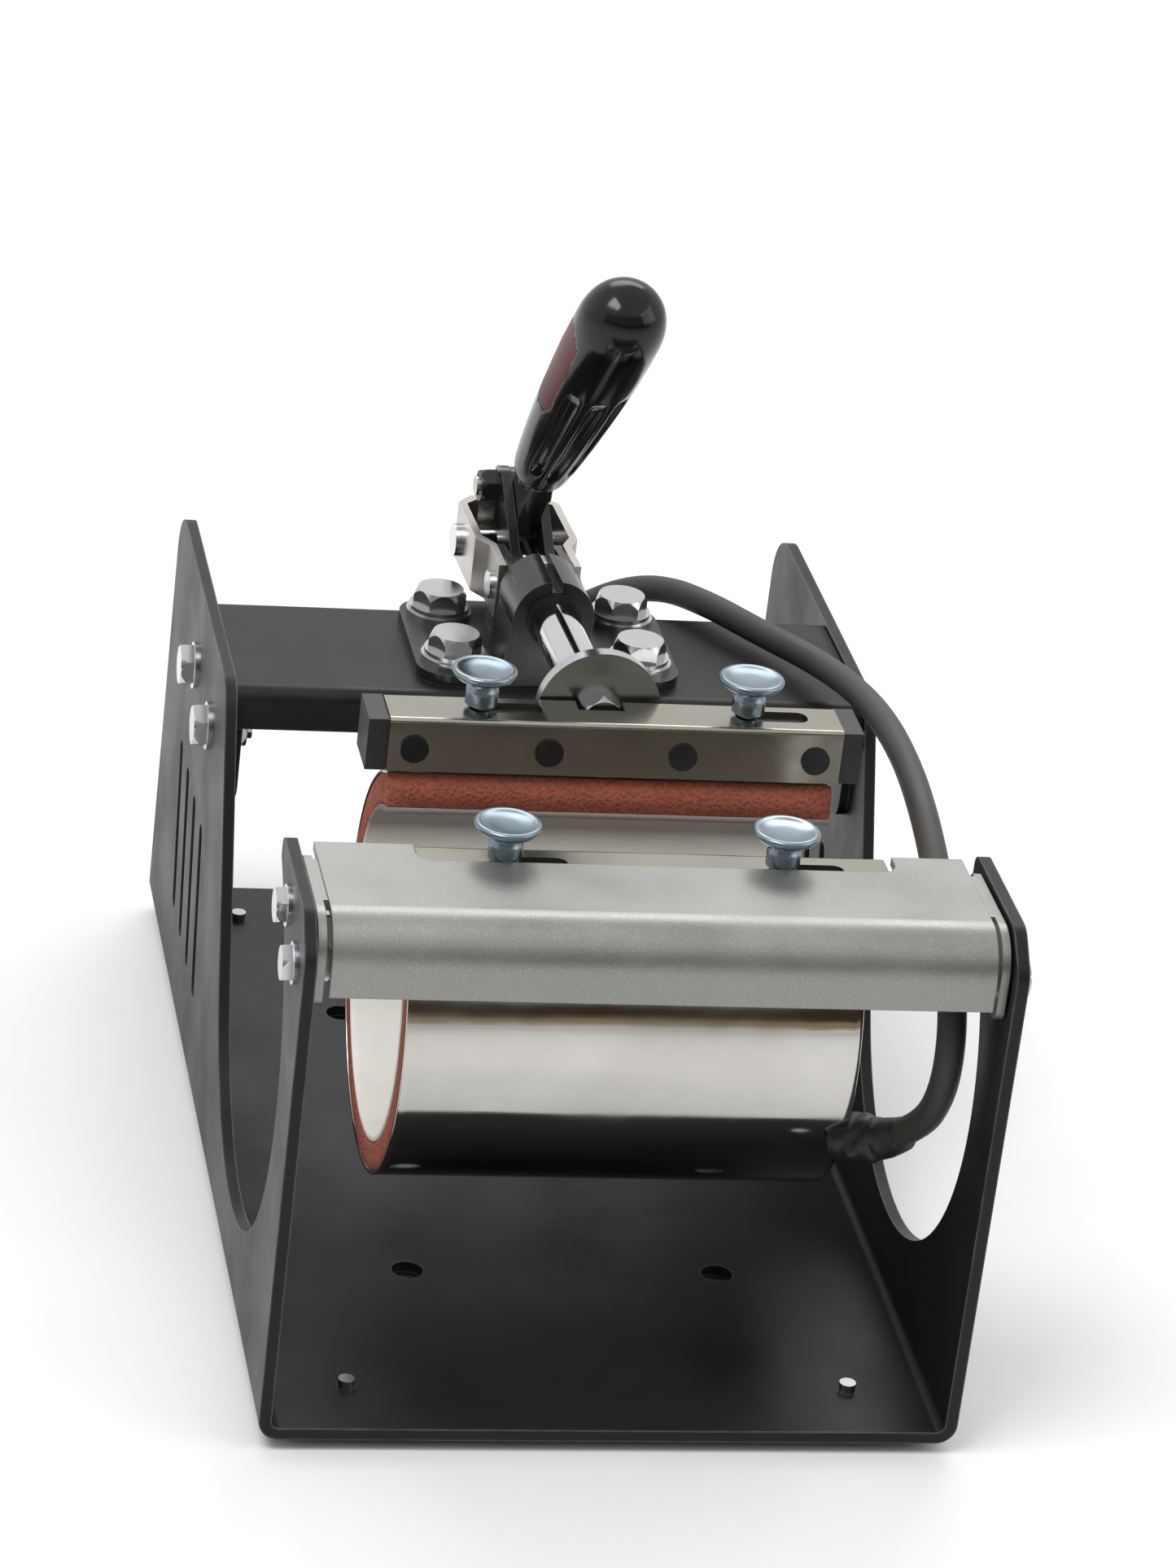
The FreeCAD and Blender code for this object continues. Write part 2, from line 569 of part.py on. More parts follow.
# Plunger with its pressure disc and end bolt
disc_front = bar_rear + disc_clearance
disc_rear = disc_front + disc_thickness
plunger_rear = plunger_pin_y + 6.0
flat_half = 3.0
plunger = rod((0, disc_rear, plunger_z), (0, plunger_rear, plunger_z), plunger_radius)
for s in sides:
    low, high = sorted((s * flat_half, s * (plunger_radius + 1)))
    flat = box(low, high, plunger_pin_y - 8.0, plunger_rear + 1, plunger_z - 9, plunger_z + 9)
    plunger = plunger.cut(flat)
plunger = plunger.cut(rod((-9, plunger_pin_y, plunger_z), (9, plunger_pin_y, plunger_z), link_pin_radius))
plunger = plunger.cut(rod((0, disc_rear - 1, plunger_z), (0, disc_rear + 12, plunger_z), 4))
save("plunger", turned(plunger))
disc = rod((0, disc_front, plunger_z), (0, disc_rear, plunger_z), disc_radius)
disc = disc.cut(rod((0, disc_front - 1, plunger_z), (0, disc_rear + 1, plunger_z), 4))
save("pressure_disc", turned(disc))
bolt_head = hexagon((0, disc_front, plunger_z), (0, -1, 0), end_bolt_flats, end_bolt_head)
end_bolt = bolt_head.fuse(rod((0, disc_front - 1, plunger_z), (0, disc_rear + 11, plunger_z), 4))
save("plunger_end_bolt", turned(end_bolt))

# Yoke: a bent strip round the end of the clamp, which carries the handle's pivot pin
w, c = yoke_half, yoke_sheet
neck = ear_outside + 0.1
path = [(neck, yoke_y0 - yoke_neck), (neck, yoke_y0), (w - c, yoke_y0 + 5),
        (w - c, yoke_y1 - 5.5), (w - c - 4, yoke_y1 - c)]
inside = path + [(-x, y) for x, y in reversed(path)]
outside = [(neck + c, yoke_y0 - yoke_neck), (neck + c, yoke_y0 - 1), (w, yoke_y0 + 4),
           (w, yoke_y1 - 4.5), (w - 4, yoke_y1)]
ring = outside + [(-x, y) for x, y in reversed(outside)]
yoke = prism_z([(x, y, 0) for x, y in ring], yoke_z0, yoke_z1)
yoke = yoke.cut(prism_z([(x, y, 0) for x, y in inside], yoke_z0 - 1, yoke_z1 + 1))
yoke = yoke.cut(rod((-30, pivot_y, pivot_z), (30, pivot_y, pivot_z), pivot_radius))
yoke_rivet_y = yoke_y0 - 8.0
yoke = yoke.cut(rod((-30, yoke_rivet_y, pivot_z + 1), (30, yoke_rivet_y, pivot_z + 1), 2))
save("yoke", turned(yoke))
rivet_z = pivot_z + 1
save("yoke_rivets", [
    turned(rod((s * neck, yoke_rivet_y, rivet_z), (s * (neck + c), yoke_rivet_y, rivet_z), 2).fuse(
        rod((s * (neck + c), yoke_rivet_y, rivet_z), (s * (neck + c + 1.2), yoke_rivet_y, rivet_z), 3.6)))
    for s in sides])
pin = rod((-w, pivot_y, pivot_z), (w, pivot_y, pivot_z), pivot_radius)
pin_head = rod((w, pivot_y, pivot_z), (w + 2, pivot_y, pivot_z), pivot_radius + 2)
pin_end = rod((-w - 1.6, pivot_y, pivot_z), (-w, pivot_y, pivot_z), pivot_radius + 1.4)
save("handle_pivot_pin", turned(pin.fuse(pin_head).fuse(pin_end)))

# Handle: lever, grip, inlay and the link pin with its nut
lean = math.radians(handle_angle)
pivot = place(0, pivot_y, pivot_z)
along = V(0, -math.cos(lean), math.sin(lean))
across = V(0, math.sin(lean), math.cos(lean))
side_lean = math.radians(grip_lean)
grip_along = along * math.cos(side_lean) + V(1, 0, 0) * math.sin(side_lean)
grip_side = V(1, 0, 0) * math.cos(side_lean) - along * math.sin(side_lean)
grip_foot = pivot + along * grip_start - grip_along * grip_start
crank = math.radians(crank_angle)
crank_y = pivot_y - crank_length * math.cos(crank)
crank_z = pivot_z + crank_length * math.sin(crank)
lever_half = lever_thickness / 2


def disc_x(y, z, x0, x1, radius):
    return rod((x0, y, z), (x1, y, z), radius)


def bar_along(start, end, width, x0, x1):
    """A flat bar on the handle's axis, from start to end, between x0 and x1."""
    a, b = pivot + along * start, pivot + along * end
    reach = across * (width / 2)
    corners = [a - reach, b - reach, b + reach, a + reach]
    wire = Part.makePolygon([V(x0, p.y, p.z) for p in corners + corners[:1]])
    return Part.Face(wire).extrude(V(x1 - x0, 0, 0))


tang_radius = 4.5
lever = bar_along(0, grip_start + 4, lever_width, -lever_half, lever_half)
lever = lever.fuse(disc_x(pivot_y, pivot_z, -lever_half, lever_half, lever_width / 2 + 0.5))
cheek = [(pivot_y + 5, pivot_z, 0), (pivot_y - 4, pivot_z - 3, 0),
         (crank_y - 6, crank_z - 1, 0), (crank_y + 5, crank_z + 2, 0)]
lever = lever.fuse(prism_x(cheek, -lever_half, lever_half))
lever = lever.fuse(disc_x(crank_y, crank_z, -lever_half, lever_half, 5.2))
tang_start = grip_foot + grip_along * (grip_start - 4)
lever = lever.fuse(Part.makeCylinder(tang_radius, 70, tang_start, grip_along))
lever = lever.cut(disc_x(pivot_y, pivot_z, -9, 9, pivot_radius + running))
lever = lever.cut(disc_x(crank_y, crank_z, -9, 9, link_pin_radius))
save("handle_lever", turned(lever))

dome = 11.0


def grip_profile(inset):
    """The grip's radius along the handle, with a rounded end, drawn in by inset."""
    full = grip_radius - inset
    body = [(grip_start + 2, 7.6 - inset), (grip_start + 10, 8.6 - inset),
            (grip_start + 30, 10.0 - inset), (grip_start + 58, full)]
    end = [(grip_end - dome + dome * math.sin(a) - inset * math.sin(a), full * math.cos(a))
           for a in (math.radians(7.5 * k) for k in range(1, 12))]
    foot = [(grip_start, 0), (grip_start, 6.4 - inset)]
    return foot + body + [(grip_end - dome, full)] + end + [(grip_end - inset, 0)]


grip = revolved(grip_profile(0), grip_foot, grip_along)
core = revolved(grip_profile(inlay_depth), grip_foot, grip_along)
oval_centre = (grip_start + grip_end) / 2 + 11
oval_front = grip_foot + grip_along * (oval_centre - oval_reach) - grip_side * 20
oval_rear = oval_front + grip_along * 2 * oval_reach
oval = Part.makeCylinder(5.5, 20, oval_front, grip_side)
oval = oval.fuse(Part.makeCylinder(5.5, 20, oval_rear, grip_side))
corners = [oval_front - across * 5.5, oval_rear - across * 5.5,
           oval_rear + across * 5.5, oval_front + across * 5.5]
oval = oval.fuse(Part.Face(Part.makePolygon(corners + corners[:1])).extrude(grip_side * 20))
inlay = grip.common(oval).cut(core)
grip = grip.cut(inlay).cut(Part.makeCylinder(tang_radius, 70, tang_start, grip_along))
grip = grip.cut(lever)
flute_depth = 1.3
for k in range(10):
    angle = math.radians(36 * k + 18)
    if abs(math.degrees(angle) - 180) > 30:
        out = grip_side * math.cos(angle) + across * math.sin(angle)
        side = across * math.cos(angle) - grip_side * math.sin(angle)
        start = grip_foot + grip_along * (grip_start + 14) + out * (9.2 - flute_depth) - side
        end = grip_foot + grip_along * (grip_start + 50) + out * (grip_radius - flute_depth) - side
        reach = out * 6
        quad = Part.makePolygon([start, end, end + reach, start + reach, start])
        grip = grip.cut(Part.Face(quad).extrude(side * 2.0))
save("handle_grip", turned(grip))
save("grip_inlay", turned(inlay))
link_x0 = lever_half + 0.3
link_x1 = link_x0 + link_thickness
link_pin = disc_x(crank_y, crank_z, -link_x1 - 0.4, link_x1 + 0.4, link_pin_radius)
link_pin = link_pin.fuse(disc_x(crank_y, crank_z, link_x1 + 0.4, link_x1 + 2.2, link_pin_radius + 1.6))
link_pin = link_pin.fuse(disc_x(crank_y, crank_z, -link_x1 - 6.0, -link_x1 - 0.3, link_pin_radius))
save("link_pin", turned(link_pin))
link_nut = hexagon((-link_x1 - 0.4, crank_y, crank_z), (-1, 0, 0), 8.0, 4.6)
save("link_pin_nut", turned(link_nut.cut(disc_x(crank_y, crank_z, -30, 0, link_pin_radius))))

# Links from the lever to the plunger. The hole at the plunger pin is wide: it takes up the
# difference between the real linkage and a straight ratio.
link_free = 2.4
for s, name in zip(sides, ("left", "right")):
    low, high = sorted((s * link_x0, s * link_x1))
    dy, dz = plunger_pin_y - crank_y, plunger_z - crank_z
    length = math.hypot(dy, dz)
    ny, nz = -dz / length * link_width / 2, dy / length * link_width / 2
    wide = link_pin_radius + link_free + 1.6
    my, mz = -dz / length * wide, dy / length * wide
    link = prism_x([(crank_y + ny, crank_z + nz, 0), (crank_y - ny, crank_z - nz, 0),
                    (plunger_pin_y - my, plunger_z - mz, 0),
                     (plunger_pin_y + my, plunger_z + mz, 0)], low, high)
    link = link.fuse(disc_x(crank_y, crank_z, low, high, link_width / 2))
    link = link.fuse(disc_x(plunger_pin_y, plunger_z, low, high, wide))
    link = link.cut(disc_x(crank_y, crank_z, -20, 20, link_pin_radius + running))
    link = link.cut(disc_x(plunger_pin_y, plunger_z, -20, 20, link_pin_radius + link_free))
    save("link_" + name, turned(link))
save("plunger_pin", turned(disc_x(plunger_pin_y, plunger_z, -link_x1 - 0.3, link_x1 + 0.3, link_pin_radius)))

# Lead: the sleeve at the wrap's right end, the cable, and a round connector on its far end
sleeve_start = (wrap_shift + half_wrap + 0.1, wrap_y - 42.0, wrap_z - 19.5)
route = [
    (67.0, 38.0, 62.0), (72.0, 29.0, 70.0), (74.0, 22.0, 82.0), (74.3, 21.0, 96.0), (74.3, 28.0, 109.0),
    (74.3, 41.0, 118.0), (75.0, 58.0, 124.0), (76.0, 78.0, 128.5),
    (77.0, 102.0, 130.5), (77.0, 128.0, 130.0),
    (75.5, 154.0, 127.0), (70.0, 178.0, 124.0), (59.0, 199.0, 122.5),
    (49.0, 214.0, 123.0), (39.0, 230.0, 121.0),
    (28.0, 243.0, 113.0), (16.0, 254.0, 99.0), (5.0, 262.0, 81.0), (-3.0, 266.0, 61.0), (-5.0, 266.0, 42.0),
    (1.0, 262.0, 24.0), (11.0, 251.0, 12.0), (18.0, 236.0, 8.7), (21.0, 219.0, 11.0), (21.0, 203.0, 11.0),
]


def cord(points, radius):
    """A round tube of straight runs and tangent arcs, each arc as large as its two runs allow."""
    spots = [place(*p) for p in points]
    edges, last, radii_used = [], spots[0], []
    for before, corner, after in zip(spots, spots[1:], spots[2:]):
        back, on = before - corner, after - corner
        shorter = min(back.Length, on.Length)
        turn = math.pi - back.getAngle(on)
        reach = 0.45 * shorter
        bend = reach / math.tan(turn / 2)
        b, o = V(back).normalize(), V(on).normalize()
        centre_on = V(b + o).normalize()
        arc_centre = corner + centre_on * math.hypot(reach, bend)
        start, end = corner + b * reach, corner + o * reach
        middle = arc_centre - centre_on * bend
        edges.append(Part.LineSegment(last, start).toShape())
        edges.append(Part.Arc(start, middle, end).toShape())
        radii_used.append(bend)
        last = end
    edges.append(Part.LineSegment(last, spots[-1]).toShape())
    spine = Part.Wire(edges)
    first = spots[1] - spots[0]
    section = Part.Wire([Part.makeCircle(radius, spots[0], first)])
    tube = spine.makePipeShell([section], True, False)
    expected = math.pi * radius ** 2 * spine.Length
    print("cord length", round(spine.Length, 1), "volume ratio", round(tube.Volume / expected, 4),
          "radii", [round(r, 1) for r in radii_used])
    return tube


save("lead_cable", cord(route, cable_radius))
sleeve_end = route[0]
a, b = place(*sleeve_start), place(*sleeve_end)
axis = b - a
out = V(route[1][0] - route[0][0], route[1][1] - route[0][1], route[1][2] - route[0][2]).normalize()
sleeve = Part.makeCone(sleeve_radius, cable_radius + 1.2, axis.Length, a, axis)
wrap_side = place(wrap_shift + half_wrap + 0.1 - 60, wrap_y - 70, wrap_z - 50)
sleeve = sleeve.cut(Part.makeBox(60, 60, 60, wrap_side))
collar = Part.makeSphere(cable_radius + 1.2, b)
sleeve = sleeve.fuse(collar).fuse(Part.makeCylinder(cable_radius + 1.2, 6, b, out))
sleeve = sleeve.cut(Part.makeCylinder(cable_radius, 20, b, out))
save("lead_sleeve", sleeve)

# Round connector lying on the base plate
tail = route[-1]
gland_length, ring_length, shell_length = 12.0, 11.0, 16.0
y0 = tail[1]
gland_shape = revolved(
    [(0, 0), (0, cable_radius + 1.0), (gland_length - 3, cable_radius + 2.4),
     (gland_length, cable_radius + 3.4), (gland_length, 0)],
    place(tail[0], y0, tail[2]), (0, -1, 0))
save("connector_gland", gland_shape)
y1 = y0 - gland_length
shell = rod((tail[0], y1, tail[2]), (tail[0], y1 - shell_length, tail[2]), connector_radius - 1.0)
bore_start = (tail[0], y1 - shell_length + 8, tail[2])
bore_end = (tail[0], y1 - shell_length - 1, tail[2])
save("connector_body", shell.cut(rod(bore_start, bore_end, 5.2)))
coupling = rod((tail[0], y1 - 6, tail[2]), (tail[0], y1 - 6 - ring_length, tail[2]), connector_radius)
coupling_bore = connector_radius - 1.0 + running
coupling = coupling.cut(rod((tail[0], y1 - 5, tail[2]), (tail[0], y1 - 30, tail[2]), coupling_bore))
save("connector_ring", coupling)
insert = rod((tail[0], y1 - shell_length + 8, tail[2]), (tail[0], y1 - shell_length + 4, tail[2]), 5.2)
pins = []
for k in range(4):
    angle = math.radians(90 * k + 45)
    x, z = tail[0] + 2.7 * math.cos(angle), tail[2] + 2.7 * math.sin(angle)
    pin = rod((x, y1 - shell_length + 6, z), (x, y1 - shell_length + 0.5, z), 0.7)
    pins.append(pin)
    insert = insert.cut(pin)
save("connector_insert", insert)
save("connector_pins", pins)
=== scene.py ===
import math
import bmesh
import bpy
import numpy as np
from mathutils import Matrix, Vector


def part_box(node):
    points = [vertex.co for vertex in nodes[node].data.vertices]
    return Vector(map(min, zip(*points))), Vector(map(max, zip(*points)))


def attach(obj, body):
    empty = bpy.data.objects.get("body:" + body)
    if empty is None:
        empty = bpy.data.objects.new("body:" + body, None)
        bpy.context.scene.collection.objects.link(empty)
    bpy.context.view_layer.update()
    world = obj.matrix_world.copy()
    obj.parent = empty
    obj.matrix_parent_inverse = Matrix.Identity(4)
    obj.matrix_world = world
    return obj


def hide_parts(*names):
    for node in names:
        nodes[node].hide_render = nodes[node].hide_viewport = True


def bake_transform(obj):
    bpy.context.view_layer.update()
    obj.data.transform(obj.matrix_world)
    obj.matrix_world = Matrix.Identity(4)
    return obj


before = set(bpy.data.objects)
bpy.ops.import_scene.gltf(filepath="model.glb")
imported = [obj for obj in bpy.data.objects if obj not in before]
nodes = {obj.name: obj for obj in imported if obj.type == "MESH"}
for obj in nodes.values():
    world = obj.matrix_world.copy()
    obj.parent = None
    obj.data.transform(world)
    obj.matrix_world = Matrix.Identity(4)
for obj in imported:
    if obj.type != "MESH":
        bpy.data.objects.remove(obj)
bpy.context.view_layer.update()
mm = 0.001


# ---- camera and cord first

cameraSet = dict(
    stand=(-0.2582, -1.2048, 0.6816), aim=(0.006, 0.0, 0.108), roll=7.0, lens=166.0, sensor=36.0, farClip=50.0,
)


def makeCamera(values):
    # the camera looks from stand to aim, and then turns by roll about its own line of sight
    data = bpy.data.cameras.new("pressCamera")
    camera = bpy.data.objects.new("pressCamera", data)
    bpy.context.collection.objects.link(camera)
    sight = Vector(values["aim"]) - Vector(values["stand"])
    turn = sight.to_track_quat("-Z", "Y").to_matrix().to_4x4()
    roll = Matrix.Rotation(math.radians(values["roll"]), 4, "Z")
    camera.matrix_world = Matrix.Translation(values["stand"]) @ turn @ roll
    data.lens = values["lens"]
    data.sensor_width = values["sensor"]
    data.sensor_fit = "HORIZONTAL"
    data.clip_end = values["farClip"]
    bpy.context.scene.camera = camera


def shown(thing):
    # links an object into the scene and hands it back
    bpy.context.collection.objects.link(thing)
    return thing


def surfacePiece(name, grid, closedAcross=False, capped=False):
    # vertex (i, j) is grid[i, j]; each face joins (i, j), (i, j + 1), (i + 1, j + 1), (i + 1, j), and a capped
    # tube also has one face over each end row
    rows, cols = grid.shape[:2]
    i, j = np.meshgrid(np.arange(rows - 1), np.arange(cols if closedAcross else cols - 1), indexing="ij")
    after = (j + 1) % cols
    here, below = i * cols, (i + 1) * cols
    faces = np.stack([here + j, here + after, below + after, below + j], axis=-1).reshape(-1, 4).tolist()
    if capped:
        faces.append(list(range(cols))[::-1])
        faces.append(list(range((rows - 1) * cols, rows * cols)))
    mesh = bpy.data.meshes.new(name)
    mesh.from_pydata(grid.reshape(-1, 3).tolist(), [], faces)
    mesh.polygons.foreach_set("use_smooth", np.full(len(mesh.polygons), True))
    mesh.update()
    return shown(bpy.data.objects.new(name, mesh))


def placed(points):
    # fit millimetres (x, y from the base's front edge, z from its underside) to the model's metres
    return np.stack([points[..., 0], points[..., 1] - 140.0, points[..., 2] + 3.0], axis=-1) * mm


def smoothed(points, finer):
    # Catmull-Rom through the points: finer steps between each pair
    p = np.array(points, float)
    ends = np.vstack([2 * p[0] - p[1], p, 2 * p[-1] - p[-2]])
    a, b, c, d = ends[:-3], ends[1:-2], ends[2:-1], ends[3:]
    t = np.linspace(0.0, 1.0, finer, endpoint=False)[None, :, None]
    a, b, c, d = (q[:, None, :] for q in (a, b, c, d))
    way = 0.5 * (2 * b + (c - a) * t + (2 * a - 5 * b + 4 * c - d) * t ** 2 + (3 * b - a - 3 * c + d) * t ** 3)
    return np.vstack([way.reshape(-1, p.shape[1]), p[-1:]])


def closeSeams(piece):
    # vertices that share a place become one, and faces look outwards
    work = bmesh.new()
    work.from_mesh(piece.data)
    bmesh.ops.remove_doubles(work, verts=work.verts, dist=1e-6)
    bmesh.ops.recalc_face_normals(work, faces=work.faces)
    work.to_mesh(piece.data)
    work.free()


leadSet = dict(
    diameter=7.0, length=461.0, stepsPerPoint=10, roundness=6,
    route=((67, 38, 62), (72, 29, 70), (74, 22, 82), (74.3, 21, 96), (74.3, 28, 109), (74.3, 41, 118),
           (75, 58, 124), (76, 78, 128.5), (77, 102, 130.5), (77, 128, 130), (75.5, 154, 127), (70, 178, 124),
           (59, 199, 122.5), (49, 214, 123), (39, 230, 121), (28, 243, 113), (16, 254, 99), (5, 262, 81),
           (-3, 266, 61), (-5, 266, 42), (1, 262, 24), (11, 251, 12), (18, 236, 8.7), (21, 219, 11),
           (21, 203, 11)),
)


def makeLead(values):
    # a quadratic B-spline whose control points are the route's corners, so each bend is tangent to two runs;
    # the cable's radius is the points' own, times a bevel depth of 1
    curve = bpy.data.curves.new("leadCable", "CURVE")
    curve.dimensions = "3D"
    spots = placed(np.array(values["route"], float))
    spline = curve.splines.new("NURBS")
    spline.points.add(len(spots) - 1)
    spline.points.foreach_set("co", np.column_stack([spots, np.ones(len(spots))]).ravel())
    spline.points.foreach_set("radius", np.full(len(spots), values["diameter"] / 2 * mm))
    spline.order_u = 3
    spline.use_endpoint_u = True
    spline.resolution_u = values["stepsPerPoint"]
    curve.bevel_depth = 1.0
    curve.bevel_resolution = values["roundness"]
    curve.use_fill_caps = True
    cable = shown(bpy.data.objects.new("leadCable", curve))
    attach(cable, "press_frame")
    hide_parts("lead_cable")


sleeveSet = dict(
    route=((57.6, 46.0, 58.0), (61.5, 43.0, 59.2), (65.0, 40.0, 60.6), (67.5, 37.2, 62.6), (69.6, 34.0, 65.4)),
    halfWidth=(7.4, 7.0, 6.2, 5.2, 4.4), halfHeight=(5.6, 5.4, 5.2, 4.8, 4.2),
    crease=0.35 / 6, creaseReach=1.3, turns=64, finer=12,
)


def makeSleeve(values):
    # ellipses of halfWidth by halfHeight carried along the route, each radius times 1 + crease * (three sines
    # that run round and along it), where the crease grows and fades as half a sine from the wrap's end
    rows = np.column_stack([values["route"], values["halfWidth"], values["halfHeight"]])
    line = smoothed(rows, values["finer"])
    spots, wide, high = line[:, :3], line[:, 3][:, None], line[:, 4][:, None]
    way = np.gradient(spots, axis=0)
    way /= np.linalg.norm(way, axis=1)[:, None]
    side = np.cross(way, np.array([0.0, 0.0, 1.0]))
    side /= np.linalg.norm(side, axis=1)[:, None]
    over = np.cross(side, way)
    t = np.linspace(0.0, 2 * math.pi, values["turns"], endpoint=False)[None, :]
    s = np.linspace(0.0, 1.0, len(spots))[:, None]
    folds = np.sin(3 * t + 9 * s) + np.sin(5 * t - 14 * s + 1.0) + 0.6 * np.sin(2 * t + 30 * s)
    crease = 1 + values["crease"] * folds * np.sin(math.pi * np.clip(s * values["creaseReach"], 0, 1))
    across = (wide * np.cos(t) * crease)[..., None] * side[:, None, :]
    up = (high * np.sin(t) * crease)[..., None] * over[:, None, :]
    sleeve = surfacePiece("leadSleeve", placed(spots[:, None, :] + across + up), closedAcross=True, capped=True)
    closeSeams(sleeve)
    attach(sleeve, "press_frame")
    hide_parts("lead_sleeve")
    return sleeve


makeCamera(cameraSet)
leadSleeve = makeSleeve(sleeveSet)
makeLead(leadSet)
print("camera and lead placed")

# ---- heating wrap: mat, sponge and polished band, all open at the top

wrapSet = dict(
    shift=3.0, middleY=88.0, middleZ=77.5, inside=39.5, top=129.4, endAngle=76.0, halfLength=55.0,
    spongeTop=122.5, matDepth=1.5, spongeDepth=7.0, bandDepth=1.0, endSwell=1.45, endReach=16.0,
    flareTop=121.5, flareFoot=96.0, dropSteps=20, bendSteps=60, circleSteps=600, steps=190, acrossSteps=60,
)


def wrapPath(values, top, short):
    # the mug's side of the wrap, seen along x: a straight drop from top to flareTop, a cubic that leans in to the
    # circle at flareFoot, then the circle under the mug and up to endAngle at the rear; outwards is the line's
    # direction turned a quarter, and the stations are even along its length
    radius, middleY, middleZ = values["inside"], values["middleY"], values["middleZ"]
    up = values["flareFoot"] - middleZ
    lift = math.asin(up / radius)
    t = np.linspace(0.0, 1.0, values["bendSteps"])[:, None]
    drop = np.array([[0.0, values["flareFoot"] - values["flareTop"]]])
    a = np.array([[middleY - radius, values["flareTop"]]])
    b = np.array([[middleY - radius * math.cos(lift), values["flareFoot"]]])
    heading = -drop[0, 1] * np.array([[-math.tan(lift), -1.0]])
    bend = (a * (2 * t ** 3 - 3 * t ** 2 + 1) + drop * (t ** 3 - 2 * t ** 2 + t)
            + b * (3 * t ** 2 - 2 * t ** 3) + heading * (t ** 3 - t ** 2))
    endAngle = 2 * math.pi + math.radians(values["endAngle"] - short)
    angle = np.linspace(math.pi - lift, endAngle, values["circleSteps"])
    circle = np.column_stack([middleY + radius * np.cos(angle), middleZ + radius * np.sin(angle)])
    height = np.linspace(top, values["flareTop"], values["dropSteps"])
    straight = np.column_stack([np.full(height.size, middleY - radius), height])
    line = np.vstack([straight[:-1], bend[:-1], circle])
    reach = np.concatenate([[0.0], np.cumsum(np.hypot(*np.diff(line, axis=0).T))])
    s = np.linspace(0.0, reach[-1], values["steps"])
    y, z = np.interp(s, reach, line[:, 0]), np.interp(s, reach, line[:, 1])
    goY, goZ = np.gradient(y, s), np.gradient(z, s)
    size = np.hypot(goY, goZ)
    return s, y, z, goZ / size, -goY / size


def wrapLayer(name, values, top, inner, depth, corner, wander, seed, swell=(0.0, 0.0), short=0.0):
    # a rectangle across (x) by depth (outwards), corners drawn in by corner, carried along the wrap's path;
    # wander moves its skin by a few slow sines, so that a soft layer isn't dead flat, and swell lifts the inner
    # and the outer side over the last stretch, where the sponge stands up to the clamp bar's strip
    rng = np.random.default_rng(seed)
    s, y, z, outY, outZ = wrapPath(values, values[top], short)
    half = values["halfLength"]
    x = np.linspace(-1.0, 1.0, values["acrossSteps"])
    edge = np.linspace(0.0, 1.0, 6)[1:-1]
    c = corner
    loopX = np.concatenate([x * (half - c), [half - 0.3 * c], np.full(edge.size, half), [half - 0.3 * c],
                            x[::-1] * (half - c), [-half + 0.3 * c], np.full(edge.size, -half), [-half + 0.3 * c]])
    loopD = np.concatenate([np.zeros(x.size), [0.3 * c], c + edge * (depth - 2 * c), [depth - 0.3 * c],
                            np.full(x.size, depth), [depth - 0.3 * c],
                            (c + edge * (depth - 2 * c))[::-1], [0.3 * c]])
    phase = rng.uniform(0.0, 6.28, (4, 2))
    sway = sum(np.sin(s[:, None] * (0.11 + 0.09 * k) + phase[k, 0])
               * np.sin(loopX[None, :] * (0.13 + 0.07 * k) + phase[k, 1]) for k in range(4)) * wander / 4
    rise = np.clip(1 - (s[-1] - s) / values["endReach"], 0.0, 1.0)
    rise = (rise ** 2 * (3 - 2 * rise))[:, None] * values["endSwell"]
    side = (loopD / depth)[None, :]
    d = inner + loopD[None, :] + rise * (swell[0] * (1 - side) + swell[1] * side)
    d = d + np.where(loopD > depth / 2, -1.0, 1.0)[None, :] * np.abs(sway)
    across = loopX[None, :] + values["shift"]
    deep, high = y[:, None] + d * outY[:, None], z[:, None] + d * outZ[:, None]
    grid = np.stack([across + 0 * deep, deep, high], axis=-1)
    return surfacePiece(name, placed(grid), closedAcross=True, capped=True)


def followsClamp(piece):
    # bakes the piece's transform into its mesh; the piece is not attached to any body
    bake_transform(piece)


matDepth, spongeDepth = wrapSet["matDepth"], wrapSet["spongeDepth"]
wrapMat = wrapLayer(
    "wrapMat", wrapSet, "top", inner=0.0, depth=matDepth, corner=0.3, wander=0.12, seed=4)
wrapSponge = wrapLayer(
    "wrapSponge", wrapSet, "spongeTop", inner=matDepth, depth=spongeDepth, corner=0.7, wander=0.35, seed=7,
    swell=(0.0, 1.0))
wrapBand = wrapLayer(
    "wrapBand", wrapSet, "spongeTop", inner=matDepth + spongeDepth, depth=wrapSet["bandDepth"], corner=0.25,
    wander=0.05, seed=9, swell=(0.4, 0.4), short=4.5)
for piece, stands, slotName in (
    (wrapMat, ("wrap_facing", "heater_foil", "wrap_backing"), "white_silicone"),
    (wrapSponge, ("wrap_foam",), "red_silicone_foam"),
    (wrapBand, ("wrap_band",), "stainless"),
):
    followsClamp(piece)
    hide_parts(*stands)
print("wrap layers made")

# ---- thumb screws: a turned profile (radius, height) about a vertical line

thumbSet = dict(
    profile=((0.0, -8.0), (2.1, -8.0), (2.5, -7.4), (2.5, 0.0), (3.9, 0.02), (4.05, 0.25), (4.05, 3.2),
             (3.6, 4.1), (3.35, 4.9), (3.9, 5.6), (5.6, 6.2), (7.0, 6.9), (7.75, 7.7), (8.0, 8.3), (7.85, 8.85),
             (7.3, 9.15), (6.5, 9.1), (5.4, 8.75), (3.6, 8.45), (1.6, 8.35), (0.0, 8.33)),
    headHeight=9.2, turns=72, finer=4,
)


